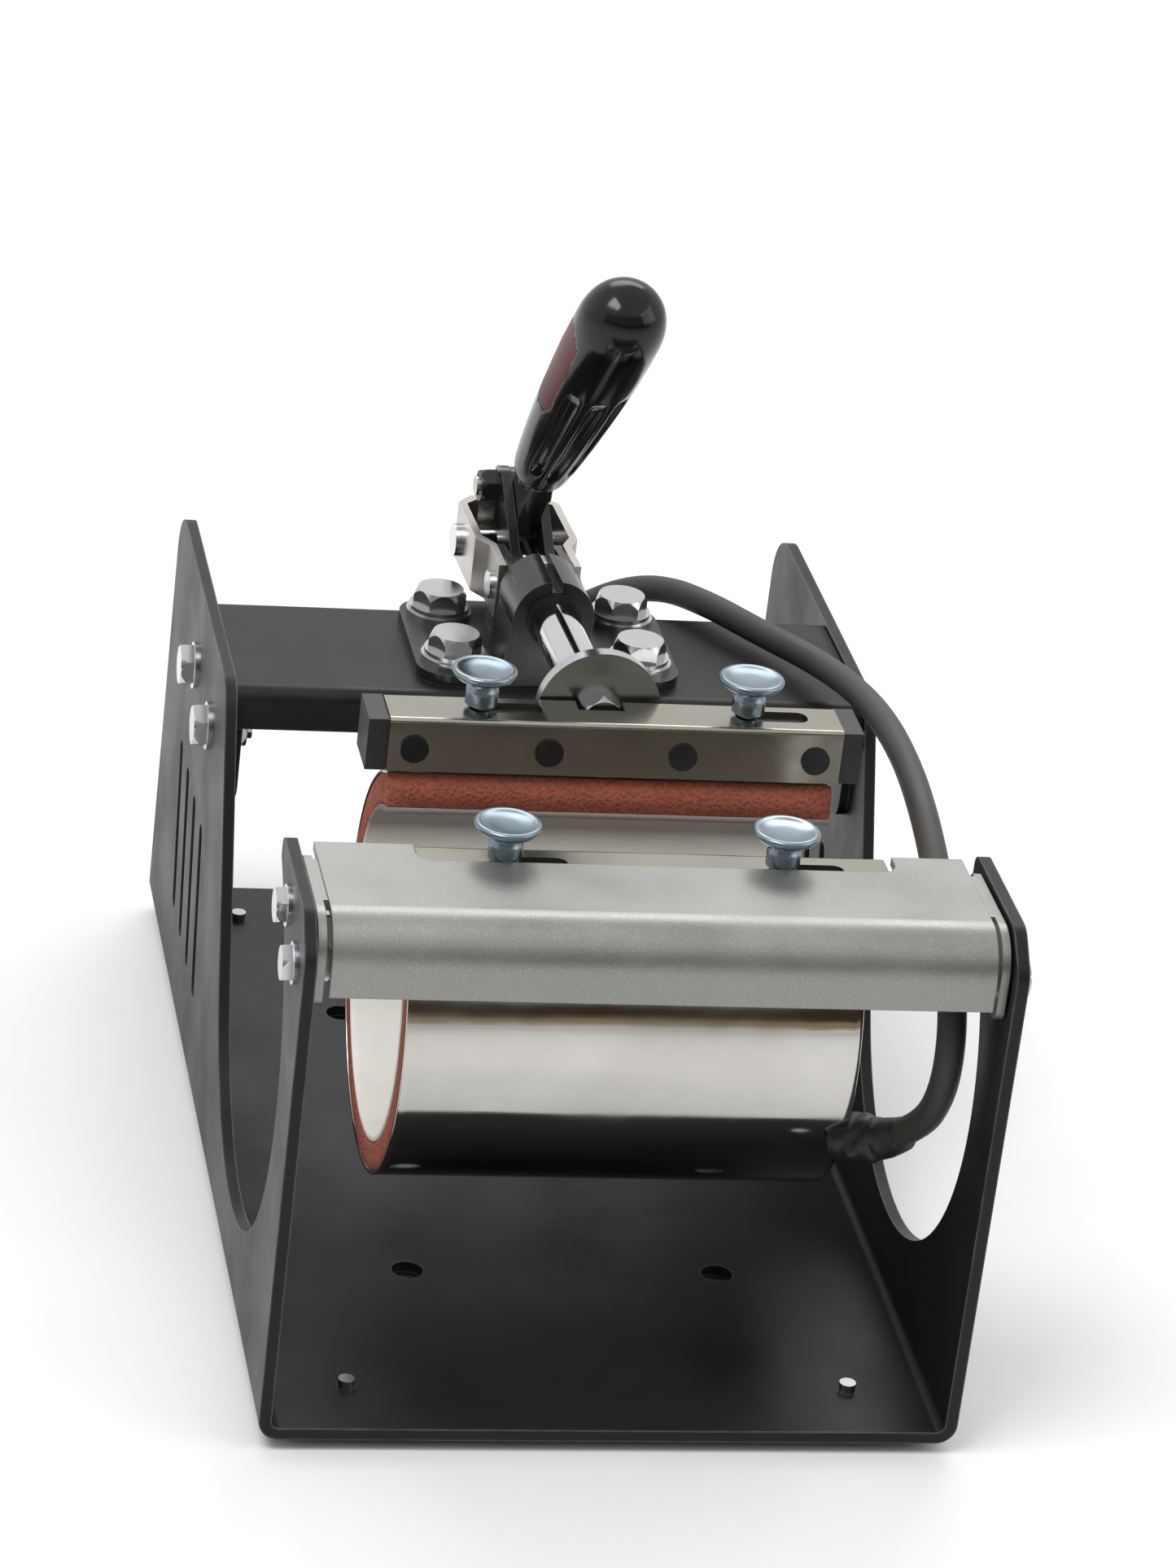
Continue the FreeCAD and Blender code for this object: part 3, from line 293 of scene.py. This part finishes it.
def turned(name, profile, foot, turns):
    # point = foot + (r cos t, r sin t, h), for each (r, h) of the profile
    r, h = np.maximum(profile[:, 0], 0.0)[:, None], profile[:, 1][:, None]
    t = np.linspace(0.0, 2 * math.pi, turns, endpoint=False)[None, :]
    grid = np.stack([r * np.cos(t), r * np.sin(t), h + 0 * t], axis=-1) * mm + np.array(foot)
    piece = surfacePiece(name, grid, closedAcross=True)
    closeSeams(piece)
    return piece


thumbProfile = smoothed(thumbSet["profile"], thumbSet["finer"])
for place in ("front", "rear"):
    for side in ("left", "right"):
        node = f"{place}_thumb_screw_{side}"
        low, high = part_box(node)
        foot = ((low[0] + high[0]) / 2, (low[1] + high[1]) / 2, high[2] - thumbSet["headHeight"] * mm)
        screw = turned(f"{place}Thumb{side.capitalize()}", thumbProfile, foot, thumbSet["turns"])
        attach(screw, f"{place}_screw_{side}")
        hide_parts(node)
print("thumb screws turned")

# ---- handle grip: a swelling round form with flutes near the hand's heel and a rounded end

gripSet = dict(
    pivotY=226.0, pivotZ=134.0, lean=51.2, sideLean=3.5, start=38.0, yaw=2.5, yawY=130.0,
    profile=((38.0, 0.0), (38.0, 5.6), (38.5, 6.3), (39.5, 6.9), (42.0, 7.5), (48.0, 8.2), (58.0, 9.1),
             (68.0, 9.8), (82.0, 10.6), (96.0, 11.1), (108.0, 11.2), (114.5, 11.0), (119.2, 9.9), (122.6, 7.8),
             (124.7, 4.8), (125.35, 2.2), (125.5, 0.0)),
    flutes=10, fluteDepth=1.3, fluteWidth=0.17, fluteStart=50.0, fluteEnd=90.0, fluteFade=0.8, plainHalf=30.0,
    ovalMiddle=92.75, ovalReach=12.0, ovalHalf=5.2, ovalDepth=1.25, turns=220, finer=9,
)


def makeGrip(values):
    # point = foot + along * s + (side * cos t + across * sin t) * r, where r is the profile's radius at s,
    # less the flutes (narrow troughs at even angles, none on the inlay's side) and less the inlay's oval seat;
    # then everything turns by yaw about the vertical line x = 0, y = yawY
    line = smoothed(values["profile"], values["finer"])
    s, r = line[:, 0][:, None], np.maximum(line[:, 1], 0.0)[:, None]
    t = np.linspace(0.0, 2 * math.pi, values["turns"], endpoint=False)[None, :]
    step = 2 * math.pi / values["flutes"]
    off = (t % step) - step / 2
    fade = values["fluteFade"]
    fluted = 1 / (1 + np.exp(-(s - values["fluteStart"]) / fade)) / (1 + np.exp((s - values["fluteEnd"]) / fade))
    inlaySide = np.abs(t - math.pi) < math.radians(values["plainHalf"])
    trough = np.exp(-(off / values["fluteWidth"]) ** 4) * fluted * np.where(inlaySide, 0.0, 1.0)
    u = np.abs(s - values["ovalMiddle"]) - values["ovalReach"]
    far = np.hypot(np.maximum(u, 0.0), r * np.sin(t))
    seat = ((far < values["ovalHalf"]) & (np.cos(t) < 0)).astype(float)
    radius = r - np.minimum(values["fluteDepth"] * trough, r * 0.5) - values["ovalDepth"] * seat
    lean = math.radians(values["lean"])
    along = np.array([0.0, -math.cos(lean), math.sin(lean)])
    across = np.array([0.0, math.sin(lean), math.cos(lean)])
    pivot = np.array([0.0, values["pivotY"], values["pivotZ"]])
    lean = math.radians(values["sideLean"])
    right = np.array([1.0, 0.0, 0.0])
    gripAlong = along * math.cos(lean) + right * math.sin(lean)
    gripSide = right * math.cos(lean) - along * math.sin(lean)
    foot = pivot + (along - gripAlong) * values["start"]
    outward = np.cos(t)[..., None] * gripSide + np.sin(t)[..., None] * across
    grid = foot + (s + 0 * t)[..., None] * gripAlong + radius[..., None] * outward
    turn = math.radians(values["yaw"])
    middle = np.array([0.0, values["yawY"], 0.0])
    spin = np.array([[math.cos(turn), math.sin(turn), 0], [-math.sin(turn), math.cos(turn), 0], [0, 0, 1]])
    grid = (grid - middle) @ spin + middle
    grip = surfacePiece("handleGrip", placed(grid), closedAcross=True)
    closeSeams(grip)
    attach(grip, "handle")
    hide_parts("handle_grip")


makeGrip(gripSet)
print("grip made")


# ---- shader node groups

def newGroup(name, inputs, outputs):
    # an empty group whose sockets are plain numbers, with its own input and output nodes
    group = bpy.data.node_groups.new(name, "ShaderNodeTree")
    for label, value in inputs:
        group.interface.new_socket(label, in_out="INPUT", socket_type="NodeSocketFloat").default_value = value
    for label in outputs:
        group.interface.new_socket(label, in_out="OUTPUT", socket_type="NodeSocketFloat")
    return group, group.nodes.new("NodeGroupInput"), group.nodes.new("NodeGroupOutput")


def sumNode(tree, operation, first, second, clamp=False):
    # first operation second, each a number or a socket
    node = tree.nodes.new("ShaderNodeMath")
    node.operation = operation
    node.use_clamp = clamp
    for socket, value in zip(node.inputs, (first, second)):
        if isinstance(value, (int, float)):
            socket.default_value = value
        else:
            tree.links.new(value, socket)
    return node.outputs[0]


def noiseNode(tree, coords, scale, detail, roughness=0.55, stretch=None):
    # noise at scale cells per metre, on coordinates multiplied by stretch first
    if stretch:
        mapping = tree.nodes.new("ShaderNodeMapping")
        mapping.inputs["Scale"].default_value = stretch
        tree.links.new(coords, mapping.inputs["Vector"])
        coords = mapping.outputs["Vector"]
    node = tree.nodes.new("ShaderNodeTexNoise")
    tree.links.new(coords, node.inputs["Vector"])
    if isinstance(scale, (int, float)):
        node.inputs["Scale"].default_value = scale
    else:
        tree.links.new(scale, node.inputs["Scale"])
    node.inputs["Detail"].default_value = detail
    node.inputs["Roughness"].default_value = roughness
    return node.outputs["Fac"]


def objectCoords(tree):
    # the piece's own place in metres
    return tree.nodes.new("ShaderNodeTexCoord").outputs["Object"]


def grainGroup():
    # Height: fine noise of Size plus a finer one; Blotch: slow cloud, stretched to 0..1; Speck: sparse points
    inputs = (("Size", 900.0), ("Cloud", 30.0), ("Sparse", 0.62))
    group, taken, given = newGroup("fineGrain", inputs, ("Height", "Blotch", "Speck"))
    coords = objectCoords(group)
    fine = noiseNode(group, coords, taken.outputs["Size"], 3.0)
    finer = noiseNode(group, coords, sumNode(group, "MULTIPLY", taken.outputs["Size"], 2.7), 2.0)
    group.links.new(sumNode(group, "ADD", fine, sumNode(group, "MULTIPLY", finer, 0.5)), given.inputs["Height"])
    cloud = noiseNode(group, coords, taken.outputs["Cloud"], 5.0, 0.6)
    spread = sumNode(group, "MULTIPLY", sumNode(group, "SUBTRACT", cloud, 0.35), 3.2, clamp=True)
    group.links.new(spread, given.inputs["Blotch"])
    over = sumNode(group, "SUBTRACT", finer, taken.outputs["Sparse"])
    speck = sumNode(group, "MULTIPLY", over, 12.0, clamp=True)
    group.links.new(speck, given.inputs["Speck"])
    return group


def wornEdgeGroup():
    # Mask: how far the rounded normal within Reach leans from the face's own normal, broken up by a noise
    group, taken, given = newGroup("wornEdge", (("Reach", 0.0006), ("Gain", 4.0)), ("Mask",))
    bevel = group.nodes.new("ShaderNodeBevel")
    bevel.samples = 4
    group.links.new(taken.outputs["Reach"], bevel.inputs["Radius"])
    geometry = group.nodes.new("ShaderNodeNewGeometry")
    dot = group.nodes.new("ShaderNodeVectorMath")
    dot.operation = "DOT_PRODUCT"
    group.links.new(bevel.outputs["Normal"], dot.inputs[0])
    group.links.new(geometry.outputs["Normal"], dot.inputs[1])
    lean = sumNode(group, "SUBTRACT", 1.0, dot.outputs["Value"])
    scratches = noiseNode(group, objectCoords(group), 160.0, 4.0)
    broken = sumNode(group, "ADD", sumNode(group, "MULTIPLY", scratches, 1.4), -0.1)
    gained = sumNode(group, "MULTIPLY", lean, taken.outputs["Gain"])
    group.links.new(sumNode(group, "MULTIPLY", gained, broken, clamp=True), given.inputs["Mask"])
    return group


def brushedGroup():
    # Lines: noise drawn out across the piece (x), Close lines per metre, with a slow waviness
    group, taken, given = newGroup("brushedLines", (("Close", 900.0),), ("Lines", "Wave"))
    coords = objectCoords(group)
    lines = noiseNode(group, coords, taken.outputs["Close"], 3.0, 0.6, stretch=(0.02, 1.0, 1.0))
    group.links.new(lines, given.inputs["Lines"])
    wave = noiseNode(group, coords, 22.0, 2.0, 0.5, stretch=(0.35, 1.0, 1.0))
    group.links.new(wave, given.inputs["Wave"])
    return group


def poresGroup():
    # Pits: round voronoi cells of Size with open middles; Skin: the slow unevenness between them
    group, taken, given = newGroup("spongePores", (("Size", 800.0),), ("Pits", "Skin"))
    coords = objectCoords(group)
    cells = group.nodes.new("ShaderNodeTexVoronoi")
    group.links.new(coords, cells.inputs["Vector"])
    group.links.new(taken.outputs["Size"], cells.inputs["Scale"])
    ragged = sumNode(group, "MULTIPLY", noiseNode(group, coords, 420.0, 4.0), 0.5)
    pits = sumNode(group, "MULTIPLY", sumNode(group, "ADD", cells.outputs["Distance"], ragged), 1.1, clamp=True)
    group.links.new(pits, given.inputs["Pits"])
    group.links.new(noiseNode(group, coords, 90.0, 5.0, 0.65), given.inputs["Skin"])
    return group


groups = dict(grain=grainGroup(), edge=wornEdgeGroup(), brushed=brushedGroup(), pores=poresGroup())


# ---- finishes

finishes = dict(
    powderCoat=dict(
        base=(0.0065, 0.0063, 0.0072), cloud=(0.01, 0.0098, 0.011), shine=0.24, edge=(0.15, 0.15, 0.155),
        reach=0.0008, rough=(0.38, 0.5), size=1500, lift=0.00005, bump=0.35,
    ),
    crossbarPaint=dict(
        base=(0.25, 0.25, 0.237), cloud=(0.285, 0.285, 0.27), speckColour=(0.62, 0.62, 0.6), metal=0.75,
        rough=(0.3, 0.42), size=1800, lift=0.00006, bump=0.4, edge=(0.12, 0.12, 0.12), reach=0.0005,
    ),
    polishedBand=dict(
        base=(0.6, 0.585, 0.55), cloud=(0.53, 0.515, 0.48), metal=1.0, rough=(0.07, 0.14), size=1200,
        lift=0.000004, bump=0.15, brushed=1500, brushLift=0.000006, wave=0.0008,
    ),
    stainlessStrip=dict(
        base=(0.43, 0.415, 0.36), cloud=(0.3, 0.285, 0.235), metal=1.0, rough=(0.14, 0.26), size=1200,
        lift=0.000004, bump=0.15, brushed=1300, brushLift=0.00001, wave=0.001,
    ),
    redSponge=dict(
        base=(0.34, 0.088, 0.05), cloud=(0.25, 0.06, 0.035), rough=(0.8, 0.95), pores=1000, lift=0.0005,
        bump=0.9,
    ),
    whiteMat=dict(
        # the grey-brown colour and the height it starts from are painted shade over the mat's upper part
        base=(0.72, 0.7, 0.67), cloud=(0.62, 0.6, 0.56), paintedShade=(0.17, 0.145, 0.13), paintedShadeFrom=0.098,
        rough=(0.45, 0.6), size=1400, lift=0.00004, bump=0.3,
    ),
    zincPlate=dict(
        base=(0.66, 0.67, 0.68), cloud=(0.5, 0.51, 0.53), metal=1.0, rough=(0.13, 0.26), size=1500,
        lift=0.000015, bump=0.3,
    ),
    blueZinc=dict(
        base=(0.27, 0.32, 0.36), cloud=(0.2, 0.25, 0.29), metal=1.0, rough=(0.2, 0.34), size=1600,
        lift=0.00001, bump=0.25,
    ),
    warmZinc=dict(
        base=(0.5, 0.47, 0.43), cloud=(0.4, 0.38, 0.35), metal=1.0, rough=(0.26, 0.42), size=1300,
        lift=0.00002, bump=0.3, edge=(0.8, 0.79, 0.76), reach=0.0004,
    ),
    chromeRod=dict(
        base=(0.72, 0.72, 0.74), cloud=(0.66, 0.66, 0.68), metal=1.0, rough=(0.05, 0.1), size=1500,
        lift=0.000003, bump=0.1,
    ),
    blackEnamel=dict(
        base=(0.008, 0.008, 0.009), cloud=(0.014, 0.014, 0.015), rough=(0.16, 0.28), size=700,
        lift=0.00002, bump=0.25, edge=(0.12, 0.12, 0.12), reach=0.0004,
    ),
    blackOxide=dict(
        base=(0.016, 0.016, 0.017), cloud=(0.03, 0.03, 0.032), metal=0.6, rough=(0.35, 0.5), size=1500,
        lift=0.00002, bump=0.3,
    ),
    glossGrip=dict(
        base=(0.004, 0.004, 0.0045), cloud=(0.007, 0.007, 0.008), shine=0.35, rough=(0.12, 0.24), size=500,
        lift=0.00002, bump=0.2,
    ),
    redInlay=dict(
        base=(0.1, 0.01, 0.008), cloud=(0.065, 0.007, 0.005), shine=0.2, rough=(0.32, 0.45), size=900,
        lift=0.00002, bump=0.25,
    ),
    blackCap=dict(
        base=(0.012, 0.012, 0.012), cloud=(0.02, 0.02, 0.02), rough=(0.4, 0.55), size=900, lift=0.00003,
        bump=0.3,
    ),
    cableJacket=dict(
        base=(0.031, 0.0275, 0.0245), cloud=(0.044, 0.039, 0.035), rough=(0.5, 0.62), size=1200,
        lift=0.00003, bump=0.3,
    ),
    shrinkSleeve=dict(
        base=(0.01, 0.01, 0.0105), cloud=(0.018, 0.018, 0.019), rough=(0.34, 0.5), size=260, lift=0.0001,
        bump=0.4,
    ),
    footRubber=dict(
        base=(0.014, 0.014, 0.014), cloud=(0.024, 0.024, 0.023), rough=(0.6, 0.75), size=900, lift=0.00004,
        bump=0.4,
    ),
    brassPin=dict(
        base=(0.7, 0.52, 0.24), cloud=(0.6, 0.43, 0.19), metal=1.0, rough=(0.2, 0.3), size=1500,
        lift=0.00001, bump=0.2,
    ),
)


def mixColours(tree, factor, first, second):
    # first * (1 - factor) + second * factor, each a colour or a socket
    mix = tree.nodes.new("ShaderNodeMix")
    mix.data_type = "RGBA"
    tree.links.new(factor, mix.inputs["Factor"])
    for socket, value in ((mix.inputs["A"], first), (mix.inputs["B"], second)):
        if isinstance(value, tuple):
            socket.default_value = (*value, 1.0)
        else:
            tree.links.new(value, socket)
    return mix.outputs["Result"]


def groupNode(tree, name, **values):
    # one of the groups above, with its own values
    node = tree.nodes.new("ShaderNodeGroup")
    node.node_tree = groups[name]
    for label, value in values.items():
        node.inputs[label].default_value = value
    return node.outputs


def makeFinish(name, values):
    # colour goes from base to cloud with a slow noise, then to the edge colour where an edge is worn;
    # roughness runs between its two values with the same noise; height is grain, pores or brushed lines
    material = bpy.data.materials.new(name)
    material.use_nodes = True
    tree = material.node_tree
    shader = tree.nodes["Principled BSDF"]
    shader.inputs["Metallic"].default_value = values.get("metal", 0.0)
    shader.inputs["Specular IOR Level"].default_value = values.get("shine", 0.5)
    grain = groupNode(tree, "grain", Size=float(values.get("size", 900)), Cloud=values.get("cloudSize", 34.0))
    spread, height = grain["Blotch"], grain["Height"]
    if "pores" in values:
        pores = groupNode(tree, "pores", Size=float(values["pores"]))
        spread, height = pores["Skin"], pores["Pits"]
    colour = mixColours(tree, spread, values["base"], values["cloud"])
    if "pores" in values:
        # the pores' middles darken to 0.45 of the base colour: painted shade in the pits
        depth = sumNode(tree, "SUBTRACT", 1.0, pores["Pits"], clamp=True)
        colour = mixColours(tree, depth, colour, tuple(0.45 * c for c in values["base"]))
    if "speckColour" in values:
        colour = mixColours(tree, grain["Speck"], colour, values["speckColour"])
    # above that height the mat goes to grey-brown: painted shade on the wrap's upper inside
    if "paintedShade" in values:
        split = tree.nodes.new("ShaderNodeSeparateXYZ")
        tree.links.new(objectCoords(tree), split.inputs["Vector"])
        above = sumNode(tree, "SUBTRACT", split.outputs["Z"], values["paintedShadeFrom"])
        shadeShare = sumNode(tree, "MULTIPLY", above, 120.0, clamp=True)
        colour = mixColours(tree, shadeShare, colour, values["paintedShade"])
    if "edge" in values:
        mask = groupNode(tree, "edge", Reach=values["reach"])["Mask"]
        colour = mixColours(tree, mask, colour, values["edge"])
    tree.links.new(colour, shader.inputs["Base Color"])
    low, high = values["rough"]
    rough = sumNode(tree, "ADD", sumNode(tree, "MULTIPLY", spread, high - low), low)
    tree.links.new(rough, shader.inputs["Roughness"])
    bump = tree.nodes.new("ShaderNodeBump")
    bump.inputs["Strength"].default_value = values["bump"]
    bump.inputs["Distance"].default_value = values["lift"]
    tree.links.new(height, bump.inputs["Height"])
    if "brushed" in values:
        lines = groupNode(tree, "brushed", Close=float(values["brushed"]))
        for label, distance in (("Lines", values["brushLift"]), ("Wave", values["wave"])):
            under = tree.nodes.new("ShaderNodeBump")
            under.inputs["Strength"].default_value = 1.0
            under.inputs["Distance"].default_value = distance
            tree.links.new(lines[label], under.inputs["Height"])
            tree.links.new(bump.outputs["Normal"], under.inputs["Normal"])
            bump = under
    tree.links.new(bump.outputs["Normal"], shader.inputs["Normal"])
    return material


made = {name: makeFinish(name, values) for name, values in finishes.items()}

nodeFinish = dict(
    powderCoat=("frame", "rear_crossbar", "front_nut_plate"),
    crossbarPaint=("front_crossbar",),
    stainlessStrip=("front_angle_strip", "rear_angle_strip"),
    zincPlate=("front_crossbar_bolts", "front_crossbar_nuts", "rear_crossbar_bolts", "rear_crossbar_nuts",
               "clamp_bolts", "clamp_washers", "clamp_nuts", "pressure_disc", "plunger_end_bolt",
               "yoke_rivets", "handle_pivot_pin", "plunger_pin", "foot_screws", "connector_gland",
               "connector_body", "connector_ring"),
    warmZinc=("yoke", "link_pin"),
    chromeRod=("plunger",),
    blackEnamel=("clamp_base", "handle_lever", "link_left", "link_right"),
    blackOxide=("front_strip_rivets", "rear_strip_rivets", "link_pin_nut", "clamp_bar", "plunger_bush"),
    redInlay=("grip_inlay",),
    blackCap=("bar_end_cap_left", "bar_end_cap_right", "connector_insert"),
    footRubber=("rubber_feet",),
    brassPin=("connector_pins",),
)


def dress(piece, material):
    # the piece wears this material alone
    piece.data.materials.clear()
    piece.data.materials.append(material)


for finish, names in nodeFinish.items():
    for name in names:
        for slotPlace in nodes[name].material_slots:
            slotPlace.material = made[finish]
pieceFinish = dict(
    wrapMat="whiteMat", wrapSponge="redSponge", wrapBand="polishedBand", leadCable="cableJacket",
    leadSleeve="shrinkSleeve", handleGrip="glossGrip", frontThumbLeft="blueZinc", frontThumbRight="blueZinc",
    rearThumbLeft="blueZinc", rearThumbRight="blueZinc",
)
for name, finish in pieceFinish.items():
    dress(bpy.data.objects[name], made[finish])
print("finishes placed")

# ---- floor and lights

floorSet = dict(half=6.0, points=9, colour=(0.78, 0.78, 0.78), rough=0.6)
aimHeight = 0.1
lightSet = dict(
    key=dict(stand=(-0.7, -0.5, 1.7), size=(0.9, 0.7), power=18.0),
    fill=dict(stand=(1.5, -0.7, 1.1), size=(1.2, 1.2), power=6.0),
    back=dict(stand=(0.3, 1.4, 1.6), size=(1.6, 0.8), power=14.0),
)


def makeFloor(values):
    # a flat square of 2 * half by 2 * half at z = 0
    edge = np.linspace(-values["half"], values["half"], values["points"])
    x, y = np.meshgrid(edge, edge, indexing="xy")
    floor = surfacePiece("studioFloor", np.stack([x, y, 0 * x], axis=-1)[::-1])
    material = bpy.data.materials.new("studioFloor")
    material.use_nodes = True
    shader = material.node_tree.nodes["Principled BSDF"]
    shader.inputs["Base Color"].default_value = (*values["colour"], 1.0)
    shader.inputs["Roughness"].default_value = values["rough"]
    dress(floor, material)


def makeLight(name, values):
    # a rectangle of light at stand, turned to the middle of the press
    data = bpy.data.lights.new(name, "AREA")
    data.shape = "RECTANGLE"
    data.size, data.size_y = values["size"]
    data.energy = values["power"]
    light = shown(bpy.data.objects.new(name, data))
    sight = Vector((0.0, 0.0, aimHeight)) - Vector(values["stand"])
    turn = sight.to_track_quat("-Z", "Y").to_matrix().to_4x4()
    light.matrix_world = Matrix.Translation(values["stand"]) @ turn


makeFloor(floorSet)
for name, values in lightSet.items():
    makeLight(name, values)
world = bpy.data.worlds.new("studioAir")
bpy.context.scene.world = world
world.use_nodes = True
white, gold, brown, greyGreen = (1.0, 1.0, 1.0), (0.36, 0.28, 0.17), (0.05, 0.036, 0.026), (0.3, 0.31, 0.27)
airSet = dict(
    strength=0.85, plain=white, spread=0.35, gain=6.0,
    stops=((0.0, white), (0.015, gold), (0.07, gold), (0.1, brown), (0.2, brown), (0.25, greyGreen),
           (0.5, greyGreen), (0.62, white)),
)


def makeAir(values):
    # plain all round, but towards the front (-y) bands of gold, brown and grey-green over the horizon, seen only
    # in reflections: share = (-y - spread) * gain, held to 0..1, and the band's colour follows the direction's z
    tree = world.node_tree
    air = tree.nodes["Background"]
    air.inputs["Strength"].default_value = values["strength"]
    split = tree.nodes.new("ShaderNodeSeparateXYZ")
    tree.links.new(tree.nodes.new("ShaderNodeTexCoord").outputs["Generated"], split.inputs["Vector"])
    ramp = tree.nodes.new("ShaderNodeValToRGB")
    while len(ramp.color_ramp.elements) < len(values["stops"]):
        ramp.color_ramp.elements.new(0.5)
    for element, (place, colour) in zip(ramp.color_ramp.elements, values["stops"]):
        element.position = place
        element.color = (*colour, 1.0)
    tree.links.new(split.outputs["Z"], ramp.inputs["Fac"])
    forward = sumNode(tree, "MULTIPLY", split.outputs["Y"], -1.0)
    past = sumNode(tree, "SUBTRACT", forward, values["spread"])
    front = sumNode(tree, "MULTIPLY", past, values["gain"], clamp=True)
    unseen = sumNode(tree, "SUBTRACT", 1.0, tree.nodes.new("ShaderNodeLightPath").outputs["Is Camera Ray"])
    colour = mixColours(tree, sumNode(tree, "MULTIPLY", front, unseen), values["plain"], ramp.outputs["Color"])
    tree.links.new(colour, air.inputs["Color"])


makeAir(airSet)
bpy.context.scene.view_settings.view_transform = "Standard"
print("floor and lights placed")
